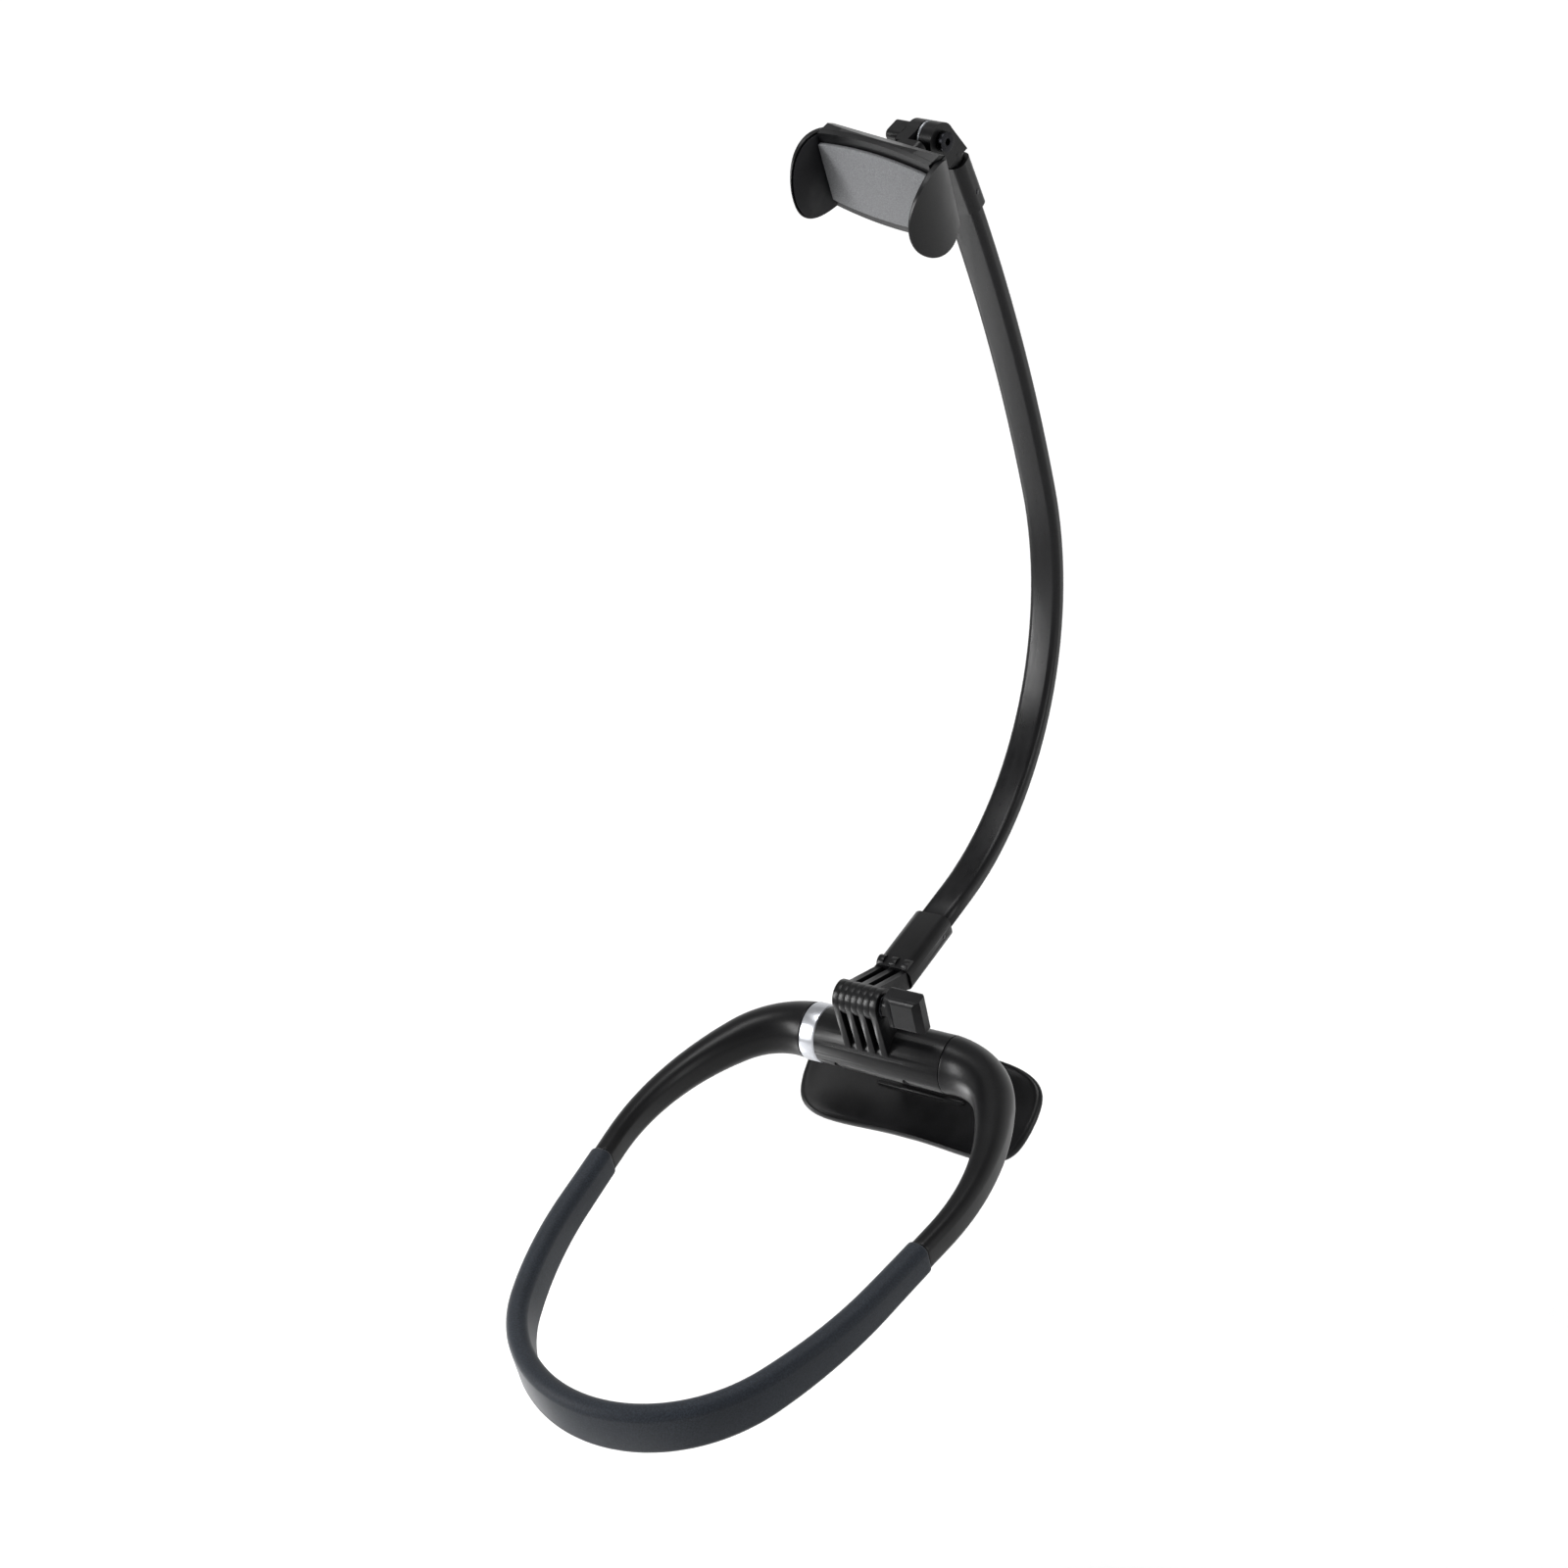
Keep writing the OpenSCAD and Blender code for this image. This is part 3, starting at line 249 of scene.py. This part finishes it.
def neck_pad():
    """The moulded silicone pad: crowned faces, soft edges and rounded lips over both loop arms."""
    places = stations(PAD_START, 2 * HALF - PAD_START, PAD_RINGS, PAD_LIP)
    return loft("neck_pad_silicone", [ring_at(loop_pose(s), pad_outline(s, inset)) for s, inset in places])


# Chest plate

# Sizes in millimetres and angles, as the part's source has them: W is a width and D a depth. PLATE_Y and
# PLATE_DROP lead from the hub's axis to the middle of the plate.
PLATE_W = 103.0
PLATE_D = 45.0
PLATE_T = 2.6
PLATE_RIM_T = 4.0
PLATE_END_RISE = 4.4
PLATE_LIP_RISE = 3.0
PLATE_NOTCH = 6.5
PLATE_TAPER_SHARE = 0.07
PLATE_CORNER_POWER = 3.8
PLATE_LEAN = math.radians(24.5)
PLATE_Y = 16.2
PLATE_DROP = 40.3
STEM_ANGLE = math.radians(-52.0)
STEM_W = 24.0
STEM_T = 9.0
STEM_START = 13.05
RIB_Y = 2.2
RIB_T = 1.6
RIB_H = 2.6
# Points round the plate's edge, and at each corner of stem and rib.
PLATE_POINTS = 200
STEM_CORNER_POINTS = 10
RIB_CORNER_POINTS = 5
# The rolled rim: its share of the plate's radius, and the angles at which its edge is drawn.
RIM_SHARE = 0.045
RIM_ANGLES = [math.radians(d) for d in range(-75, 76, 15)]
# Shares of the radius where the dish is drawn, each with how far the web has thickened to the rim there.
DISH_SHARES = [(0.02, 0.0), (0.15, 0.0), (0.3, 0.0), (0.45, 0.0), (0.6, 0.0), (0.72, 0.0), (0.8, 0.05),
               (0.86, 0.2), (0.905, 0.55), (0.935, 0.85), (1 - RIM_SHARE, 1.0)]
# The stem ends this far above the middle of the web, just under its face.
STEM_SEAT = 1.0
# Foot of the stem: how far it still has to go, and how much wider it is there on each side.
STEM_FLARE = [(6.0, 0.0), (3.4, 0.15), (1.9, 0.6), (0.8, 1.5), (0.0, 2.8)]
# Corner radius of the rib's outline, which is pressed to a share of its height.
RIB_EDGE_R = 0.6
RIB_HEIGHT_SHARE = 0.9
# The level above the middle of the web that the rib's ends shrink to, and the rib's own middle above that.
RIB_LEVEL = 0.6
RIB_MIDDLE = 0.9
# Ends of the rib: the distance from the middle, and the share of the full section there.
RIB_ENDS = [(19.5, 0.4), (19.2, 0.8), (18.6, 1.0)]


def from_plate(x, y, z):
    """A point of the plate's own frame, which leans and lies below the hub, in the model's frame."""
    c, s = math.cos(PLATE_LEAN), math.sin(PLATE_LEAN)
    return x, HUB_Y + PLATE_Y + y * c - z * s, -PLATE_DROP + y * s + z * c


def end_rise(x):
    """How far the dish rises towards its two ends."""
    return PLATE_END_RISE * (2 * x / PLATE_W) ** 2


def plate_point(radius_share, height_share, rim_blend, angle):
    """A point of the dish. A height_share of 0.5 is its upper face, and -0.5 its lower one."""
    power = 2 / PLATE_CORNER_POWER
    px, py = (math.copysign(abs(v) ** power, v) for v in (math.cos(angle), math.sin(angle)))
    notch_side = max(0.0, -py)
    x = radius_share * PLATE_W / 2 * px * (1 - PLATE_TAPER_SHARE * notch_side)
    y = radius_share * (PLATE_D / 2 * py + PLATE_NOTCH * notch_side * (1 - px ** 2))
    middle = end_rise(x) + PLATE_LIP_RISE * max(0.0, 2 * y / PLATE_D) ** 3
    return from_plate(x, y, middle + height_share * mix(PLATE_T, PLATE_RIM_T, rim_blend))


def plate_dish():
    """The dished plate, drawn from the middle of its lower face round the rolled rim to its upper face."""
    lower = [(share, -0.5, blend) for share, blend in DISH_SHARES]
    rim = [(1 - RIM_SHARE + RIM_SHARE * math.cos(a), 0.5 * math.sin(a), 1.0) for a in RIM_ANGLES]
    upper = [(share, 0.5, blend) for share, blend in reversed(DISH_SHARES)]
    angles = [2 * math.pi * (k + 0.5) / PLATE_POINTS for k in range(PLATE_POINTS)]
    rings = [[plate_point(*row, a) for a in angles] for row in lower + rim + upper]
    return loft("chest_plate_dish", rings)


def stem_ring(to_go, spread):
    """A cross-section of the stem where it leaves the hub or, with to_go, that far before it ends."""
    along_y, along_z = math.cos(STEM_ANGLE), math.sin(STEM_ANGLE)
    normal_y, normal_z = -math.sin(PLATE_LEAN), math.cos(PLATE_LEAN)
    ring = []
    for x, depth in rounded_outline(STEM_W + 2 * spread, STEM_T + 2 * spread, STEM_T / 4 + spread,
                                    STEM_CORNER_POINTS):
        base_y, base_z = depth * along_z, -depth * along_y
        if to_go is None:
            d = STEM_START
        else:
            gap = (PLATE_Y - base_y) * normal_y + (STEM_SEAT - PLATE_DROP - base_z) * normal_z
            d = gap / (along_y * normal_y + along_z * normal_z) - to_go
        ring.append((x, HUB_Y + base_y + along_y * d, base_z + along_z * d))
    return ring


def plate_stem():
    """The stem from the hub down to the plate, flared at its foot."""
    return loft("chest_plate_stem", [stem_ring(None, 0.0)] + [stem_ring(*step) for step in STEM_FLARE])


def plate_rib():
    """The low rib across the plate, with rounded ends."""
    outline = rounded_outline(RIB_T, RIB_H, RIB_EDGE_R, RIB_CORNER_POINTS)
    rings = []
    for x, size in [(-x, size) for x, size in RIB_ENDS] + RIB_ENDS[::-1]:
        level = RIB_LEVEL + end_rise(x)
        rings.append([from_plate(x, RIB_Y + y * size, level + size * (RIB_MIDDLE + RIB_HEIGHT_SHARE * z))
                      for y, z in outline])
    return loft("chest_plate_rib", rings)


# Materials

# The noise's range that leads from the dark to the pale colour, and the one for the gloss.
SPECKLE_BAND = (0.35, 0.75)
GLOSS_BAND = (0.3, 0.7)
# How much fine detail both noises have, and how strongly the grain is pressed into the skin.
CLOUD_DETAIL = 4.0
GRAIN_DETAIL = 2.0
GRAIN_STRENGTH = 0.6


def srgb(code):
    """An sRGB hex value as the linear colour that a shader takes."""
    values = [int(code[i:i + 2], 16) / 255 for i in (1, 3, 5)]
    return [v / 12.92 if v <= 0.04045 else ((v + 0.055) / 1.055) ** 2.4 for v in values] + [1.0]


def add(tree, kind, inputs=None, **settings):
    """Adds a node, sets its options, and sets or links its inputs."""
    made = tree.nodes.new(kind)
    for key, value in settings.items():
        setattr(made, key, value)
    for key, value in (inputs or {}).items():
        if isinstance(value, bpy.types.NodeSocket):
            tree.links.new(value, made.inputs[key])
        else:
            made.inputs[key].default_value = value
    return made


def finish_of(name, **sockets):
    """A material with one principled shader, whose plain values are set on its own sockets."""
    material = bpy.data.materials.new(name)
    material.use_nodes = True
    shader = material.node_tree.nodes["Principled BSDF"]
    for key, value in sockets.items():
        shader.inputs[key.replace("_", " ").title().replace("Ior", "IOR")].default_value = value
    return material, material.node_tree, shader


def surface(name, dark, pale, cloud_mm, rough, grain_mm, grain_depth_mm, stretch=(1, 1, 1), **sockets):
    """Colour and gloss that drift over cloud_mm, and a grain of grain_mm pressed into the skin."""
    material, tree, shader = finish_of(name, **sockets)
    where = add(tree, "ShaderNodeTexCoord").outputs["Object"]
    placed = add(tree, "ShaderNodeMapping", {"Vector": where, "Scale": stretch}).outputs[0]
    cloud = add(tree, "ShaderNodeTexNoise", {"Vector": placed, "Scale": 1 / (cloud_mm * MM),
                                             "Detail": CLOUD_DETAIL}).outputs["Fac"]
    grain = add(tree, "ShaderNodeTexNoise", {"Vector": placed, "Scale": 1 / (grain_mm * MM),
                                             "Detail": GRAIN_DETAIL}).outputs["Fac"]
    speckle = add(tree, "ShaderNodeMapRange", {"Value": grain, "From Min": SPECKLE_BAND[0],
                                               "From Max": SPECKLE_BAND[1]})
    drift = add(tree, "ShaderNodeMath", {0: cloud, 1: speckle.outputs[0]}, operation="MULTIPLY")
    colour = add(tree, "ShaderNodeMix", {0: drift.outputs[0], 6: srgb(dark), 7: srgb(pale)},
                 data_type="RGBA")
    gloss = add(tree, "ShaderNodeMapRange", {"Value": cloud, "From Min": GLOSS_BAND[0],
                                             "From Max": GLOSS_BAND[1],
                                             "To Min": rough[0], "To Max": rough[1]})
    bump = add(tree, "ShaderNodeBump", {"Height": grain, "Distance": grain_depth_mm * MM,
                                        "Strength": GRAIN_STRENGTH})
    tree.links.new(colour.outputs[2], shader.inputs["Base Color"])
    tree.links.new(gloss.outputs[0], shader.inputs["Roughness"])
    tree.links.new(bump.outputs[0], shader.inputs["Normal"])
    return material


# Black polymers with a matted skin reflect less than their clear index would.
DULL = {"specular_ior_level": 0.2}
# ABS moulded in a spark-eroded tool: near black, satin, with a fine even grain that breaks the highlights.
moulded_abs = surface("moulded_abs", "#09090a", "#18181a", cloud_mm=9.0, rough=(0.28, 0.38),
                      grain_mm=0.45, grain_depth_mm=0.012, ior=1.53, **DULL)
# The same ABS where it is handled: the knobs are a little smoother and shine more along their edges.
handled_abs = surface("handled_abs", "#0c0c0d", "#1c1c1f", cloud_mm=6.0, rough=(0.27, 0.37),
                      grain_mm=0.5, grain_depth_mm=0.008, ior=1.53, **DULL)
# Thermoplastic elastomer over the loop arms: black with a soft, wide highlight.
soft_tpe = surface("soft_touch_elastomer", "#09090a", "#171719", cloud_mm=16.0, rough=(0.3, 0.4),
                   grain_mm=0.5, grain_depth_mm=0.01, ior=1.5, **DULL)
# Elastomer drawn over the arm's strip: drawing leaves faint lines along its length.
drawn_tpe = surface("drawn_elastomer_sleeve", "#0a0a0b", "#1a1a1d", cloud_mm=7.0, rough=(0.26, 0.36),
                    grain_mm=0.5, grain_depth_mm=0.012, stretch=(3.0, 1.0, 0.35), ior=1.5, **DULL)
# Silicone moulded in a blasted tool: dark blue grey, dull, with a dusty sheen at grazing angles.
silicone = surface("moulded_silicone", "#191d23", "#30363f", cloud_mm=22.0, rough=(0.52, 0.64),
                   grain_mm=0.6, grain_depth_mm=0.02, ior=1.41,
                   sheen_weight=0.18, sheen_roughness=0.45, **DULL)
# EVA rubber of the phone's rest: mid grey, dull, with a fine open skin.
eva_rubber = surface("eva_rubber", "#5f6062", "#868789", cloud_mm=8.0, rough=(0.62, 0.78),
                     grain_mm=0.5, grain_depth_mm=0.03, ior=1.48)
# Rubber skins inside the jaws: nearly black and dull, which deepens their hollows.
jaw_rubber = surface("jaw_rubber", "#09090c", "#17171b", cloud_mm=6.0, rough=(0.5, 0.64),
                     grain_mm=0.4, grain_depth_mm=0.02, ior=1.5, **DULL)
# Nylon bushes, as moulded: milky and slightly glossy.
nylon = surface("moulded_nylon", "#cfccc2", "#efece4", cloud_mm=5.0, rough=(0.35, 0.45),
                grain_mm=0.5, grain_depth_mm=0.01, ior=1.53)
# Nickel plate on the collar, turned and brushed: a bright satin skin that spreads each light into a band.
nickel = surface("satin_nickel_plate", "#b4b6bb", "#d6d8dc", cloud_mm=10.0, rough=(0.27, 0.34),
                 grain_mm=0.25, grain_depth_mm=0.0005, metallic=1.0)
# Zinc plate on the shaft, the bolt, the screws, washers and clips: cool grey with a faint mottle.
zinc_plate = surface("zinc_plated_steel", "#9a9da2", "#c9ccd1", cloud_mm=3.0, rough=(0.26, 0.4),
                     grain_mm=0.3, grain_depth_mm=0.004, metallic=1.0)
# Blackened steel of the hinge's nut and washer, the tilt screw and the pins: an oxide that glints on edges.
black_oxide = surface("black_oxide_steel", "#1c1c1e", "#34353a", cloud_mm=3.0, rough=(0.22, 0.34),
                      grain_mm=0.3, grain_depth_mm=0.004, metallic=1.0)
# Spring steel, as rolled and tempered: darker than the zinc.
spring_steel = surface("tempered_spring_steel", "#6a6d72", "#94989e", cloud_mm=5.0, rough=(0.28, 0.4),
                       grain_mm=0.3, grain_depth_mm=0.004, metallic=1.0)
# Soft aluminium strip, as rolled: pale, with lines along the rolling.
rolled_aluminium = surface("rolled_aluminium", "#a6a8ab", "#cfd1d3", cloud_mm=6.0, rough=(0.3, 0.42),
                           grain_mm=0.4, grain_depth_mm=0.006, stretch=(4.0, 1.0, 0.4), metallic=1.0)

# Finishes of the model's nodes. Those that aren't listed are zinc-plated, or have new pieces in their place.
FINISHES = {
    "hub_upper_shell": moulded_abs, "hub_lower_shell": moulded_abs, "arm_lower_socket": moulded_abs,
    "arm_upper_socket": moulded_abs, "swivel_yoke": moulded_abs, "clamp_neck": moulded_abs,
    "clamp_base": moulded_abs, "clamp_front_cover": moulded_abs, "sliding_jaw": moulded_abs,
    "hinge_thumb_knob": handled_abs, "tilt_thumb_nut": handled_abs, "arm_sleeve": drawn_tpe,
    "ring_collar": nickel, "grip_pad": eva_rubber, "fixed_jaw_liner": jaw_rubber,
    "sliding_jaw_liner": jaw_rubber, "friction_bushes": nylon, "arm_memory_strip": rolled_aluminium,
    "loop_spring_strip": spring_steel, "jaw_springs": spring_steel, "hinge_washer": black_oxide,
    "arm_socket_pins": black_oxide, "tilt_screw": black_oxide, "hinge_nut": black_oxide,
}
# Radius that moulding or turning leaves on the edges, in millimetres.
EDGE_MM = {
    "hub_upper_shell": 0.35, "hub_lower_shell": 0.35, "arm_lower_socket": 0.5, "arm_upper_socket": 0.6,
    "swivel_yoke": 0.4, "clamp_neck": 0.4, "clamp_base": 0.6, "clamp_front_cover": 0.5, "sliding_jaw": 0.5,
    "hinge_thumb_knob": 0.8, "tilt_thumb_nut": 0.6, "grip_pad": 0.4, "ring_collar": 0.15,
    "tilt_screw": 0.25,
}
# Nodes with large flat faces.
FLAT_SIDED = {"clamp_base", "clamp_front_cover", "sliding_jaw", "clamp_neck", "swivel_yoke",
              "arm_upper_socket", "hinge_thumb_knob", "tilt_thumb_nut"}
# Points this close become one, in millimetres: before the edges are rounded, and after.
WELD_MM = 0.001
ROUNDED_WELD_MM = 0.002
# Faces that turn by less than this from one to the next count as one flat face.
FLAT_DEGREES = 0.3
# Edges that turn by more than this are rounded, in so many steps.
EDGE_DEGREES = 38
EDGE_SEGMENTS = 3
# How strongly large faces set the shading of a flat-sided node, in percent.
FACE_WEIGHT = 60


def dress(node, material, edge_mm, flat_sided):
    """Gives a node of the model its finish and its rounded edges.

    The large faces of a flat-sided node keep their own normals, so that the light lies even on them.
    """
    node.data.materials.clear()
    node.data.materials.append(material)
    node.data.polygons.foreach_set("use_smooth", [True] * len(node.data.polygons))
    weld = node.modifiers.new("weld", "WELD")
    weld.merge_threshold = WELD_MM * MM
    if flat_sided:
        whole = node.modifiers.new("whole_faces", "DECIMATE")
        whole.decimate_type = "DISSOLVE"
        whole.angle_limit = math.radians(FLAT_DEGREES)
    if edge_mm:
        bevel = node.modifiers.new("edges", "BEVEL")
        bevel.width = edge_mm * MM
        bevel.segments = EDGE_SEGMENTS
        bevel.limit_method = "ANGLE"
        bevel.angle_limit = math.radians(EDGE_DEGREES)
        bevel.harden_normals = not flat_sided
        bevel.use_clamp_overlap = True
        rounded_weld = node.modifiers.new("rounded_weld", "WELD")
        rounded_weld.merge_threshold = ROUNDED_WELD_MM * MM
    if flat_sided:
        shading = node.modifiers.new("shading", "WEIGHTED_NORMAL")
        shading.mode = "FACE_AREA_WITH_ANGLE"
        shading.weight = FACE_WEIGHT


def place(piece, body, slot, material, *replaced):
    """Gives a new piece its finish and the body that it rides on, and hides the nodes that it stands for."""
    piece.data.materials.append(material)
    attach(piece, body)
    if replaced:
        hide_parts(*replaced)
    return piece


# Stage, lights and camera

# The floor lies this far below the object and reaches this far each way, in millimetres.
FLOOR_DROP = 260.0
FLOOR_REACH = 14000.0
FLOOR_COLOUR = "#e9e9e9"
# The floor's lift close by, and what it gains far away.
LIFT_NEAR = 0.05
LIFT_GAIN = 0.76
# The squared distance, in square metres, at which half of that is gained.
LIFT_SPREAD = 2.6
# Strength of the soft fill, and of the ceiling in reflections.
FILL = 0.4
CEILING = 0.4
# A direction's upward share, from where the walls end to where the ceiling is as dim as it gets.
CEILING_BAND = (0.1, 0.6)

LENS_MM = 54.0
SENSOR_MM = 36.0
CAMERA_CLIP = (0.02, 100.0)
# The camera's place from the hub's middle in millimetres, and the way that its back and its right side face.
CAMERA_FROM_HUB = (428.4, -539.9, 560.7)
CAMERA_BACK = (0.5372, -0.6517, 0.5355)
CAMERA_RIGHT = (0.8296, 0.5230, -0.1957)


def white_floor():
    """A pale floor well below the held-up object. It shows as white and keeps the soft shadow.

    Its lift for the camera and for reflections grows with distance, where the lamps reach less, so that no
    horizon shows.
    """
    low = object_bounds()[0].z / MM - FLOOR_DROP
    corners = [(x * FLOOR_REACH, y * FLOOR_REACH, low) for x, y in ((-1, -1), (1, -1), (1, 1), (-1, 1))]
    floor = mesh_object("floor", corners, [(0, 1, 2, 3)])
    material, tree, shader = finish_of("pale_floor", roughness=0.9, base_color=srgb(FLOOR_COLOUR))
    rays = add(tree, "ShaderNodeLightPath").outputs
    seen = rays["Is Camera Ray"]
    for other in (rays["Is Glossy Ray"], rays["Is Transmission Ray"]):
        seen = add(tree, "ShaderNodeMath", {0: seen, 1: other}, operation="MAXIMUM").outputs[0]
    where = add(tree, "ShaderNodeTexCoord").outputs["Object"]
    square = add(tree, "ShaderNodeVectorMath", {0: where, 1: where},
                 operation="DOT_PRODUCT").outputs["Value"]
    wider = add(tree, "ShaderNodeMath", {0: square, 1: LIFT_SPREAD}, operation="ADD")
    share = add(tree, "ShaderNodeMath", {0: square, 1: wider.outputs[0]}, operation="DIVIDE")
    level = add(tree, "ShaderNodeMath", {0: share.outputs[0], 1: LIFT_GAIN, 2: LIFT_NEAR},
                operation="MULTIPLY_ADD")
    lift = add(tree, "ShaderNodeMath", {0: seen, 1: level.outputs[0]}, operation="MULTIPLY")
    glow = add(tree, "ShaderNodeEmission", {"Color": (1, 1, 1, 1), "Strength": lift.outputs[0]})
    total = add(tree, "ShaderNodeAddShader", {0: shader.outputs[0], 1: glow.outputs[0]})
    tree.links.new(total.outputs[0], tree.nodes["Material Output"].inputs["Surface"])
    floor.data.materials.append(material)


def studio_world():
    """White walls for the camera and for reflections, which see a dimmer ceiling, and a soft fill."""
    world = bpy.data.worlds.new("studio")
    bpy.context.scene.world = world
    world.use_nodes = True
    tree = world.node_tree
    rays = add(tree, "ShaderNodeLightPath").outputs
    where = add(tree, "ShaderNodeTexCoord").outputs["Generated"]
    height = add(tree, "ShaderNodeSeparateXYZ", {"Vector": where}).outputs["Z"]
    low, high = CEILING_BAND
    ceiling = add(tree, "ShaderNodeMapRange", {"Value": height, "From Min": low, "From Max": high,
                                               "To Min": 1.0, "To Max": CEILING})
    mirrored = add(tree, "ShaderNodeMath", {0: rays["Is Glossy Ray"], 1: ceiling.outputs[0]},
                   operation="MULTIPLY")
    strength = rays["Is Camera Ray"]
    for other in (rays["Is Transmission Ray"], mirrored.outputs[0], FILL):
        strength = add(tree, "ShaderNodeMath", {0: strength, 1: other}, operation="MAXIMUM").outputs[0]
    background = tree.nodes["Background"]
    background.inputs["Color"].default_value = (1, 1, 1, 1)
    tree.links.new(strength, background.inputs["Strength"])


def softbox(name, position, size, power, target):
    """A rectangular lamp, sized in metres and turned to a target, with its power in watts."""
    light = bpy.data.lights.new(name, "AREA")
    light.shape = "RECTANGLE"
    light.size, light.size_y = size
    light.energy = power
    lamp = bpy.data.objects.new(name, light)
    lamp.location = position
    lamp.rotation_mode = "QUATERNION"
    lamp.rotation_quaternion = (Vector(target) - Vector(position)).to_track_quat("-Z", "Y")
    lamp.visible_camera = False
    bpy.context.scene.collection.objects.link(lamp)


def camera():
    """The photograph's view: from above and behind the wearer's right shoulder, rolled a little."""
    data = bpy.data.cameras.new("camera")
    data.lens = LENS_MM
    data.sensor_width = SENSOR_MM
    data.clip_start, data.clip_end = CAMERA_CLIP
    seen_from = bpy.data.objects.new("camera", data)
    back = Vector(CAMERA_BACK).normalized()
    right = Vector(CAMERA_RIGHT)
    right = (right - back * right.dot(back)).normalized()
    turn = Matrix((right, back.cross(right), back)).transposed().to_4x4()
    x, y, z = CAMERA_FROM_HUB
    seen_from.matrix_world = Matrix.Translation(Vector((x, HUB_Y + y, z)) * MM) @ turn
    bpy.context.scene.collection.objects.link(seen_from)
    bpy.context.scene.camera = seen_from


# The whole scene

for name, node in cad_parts.items():
    dress(node, FINISHES.get(name, zinc_plate), EDGE_MM.get(name, 0), name in FLAT_SIDED)

place(loop_arm("right_loop_arm_skin", False), "neck_loop", "body_plastic", soft_tpe, "right_loop_arm")
place(loop_arm("left_loop_arm_skin", True), "neck_loop", "body_plastic", soft_tpe, "left_loop_arm")
place(neck_pad(), "neck_loop", "pad_silicone", silicone, "neck_pad")
place(plate_dish(), "hub", "body_plastic", moulded_abs, "chest_plate")
place(plate_stem(), "hub", "body_plastic", moulded_abs)
place(plate_rib(), "hub", "body_plastic", moulded_abs)

studio_world()
white_floor()
# The key lights the pad and the loop from behind on the left, and the side lamp the edges on the right. The
# top lamp shines on the hub and the arm from above. The low one gives the upper arm its long highlight.
softbox("key", position=(-1.0, -0.9, 0.75), size=(0.4, 1.0), power=26.0, target=(0, 0.2, 0.25))
softbox("side", position=(1.5, 0.3, 0.6), size=(0.25, 1.2), power=5.0, target=(0, 0.2, 0.1))
softbox("top", position=(-0.2, 0.5, 1.8), size=(1.1, 0.6), power=16.0, target=(0, 0.2, 0.1))
softbox("low", position=(-0.38, 0.1, -0.28), size=(0.3, 0.35), power=1.7, target=(0, 0.35, 0.22))
camera()

bpy.context.scene.view_settings.view_transform = "Standard"
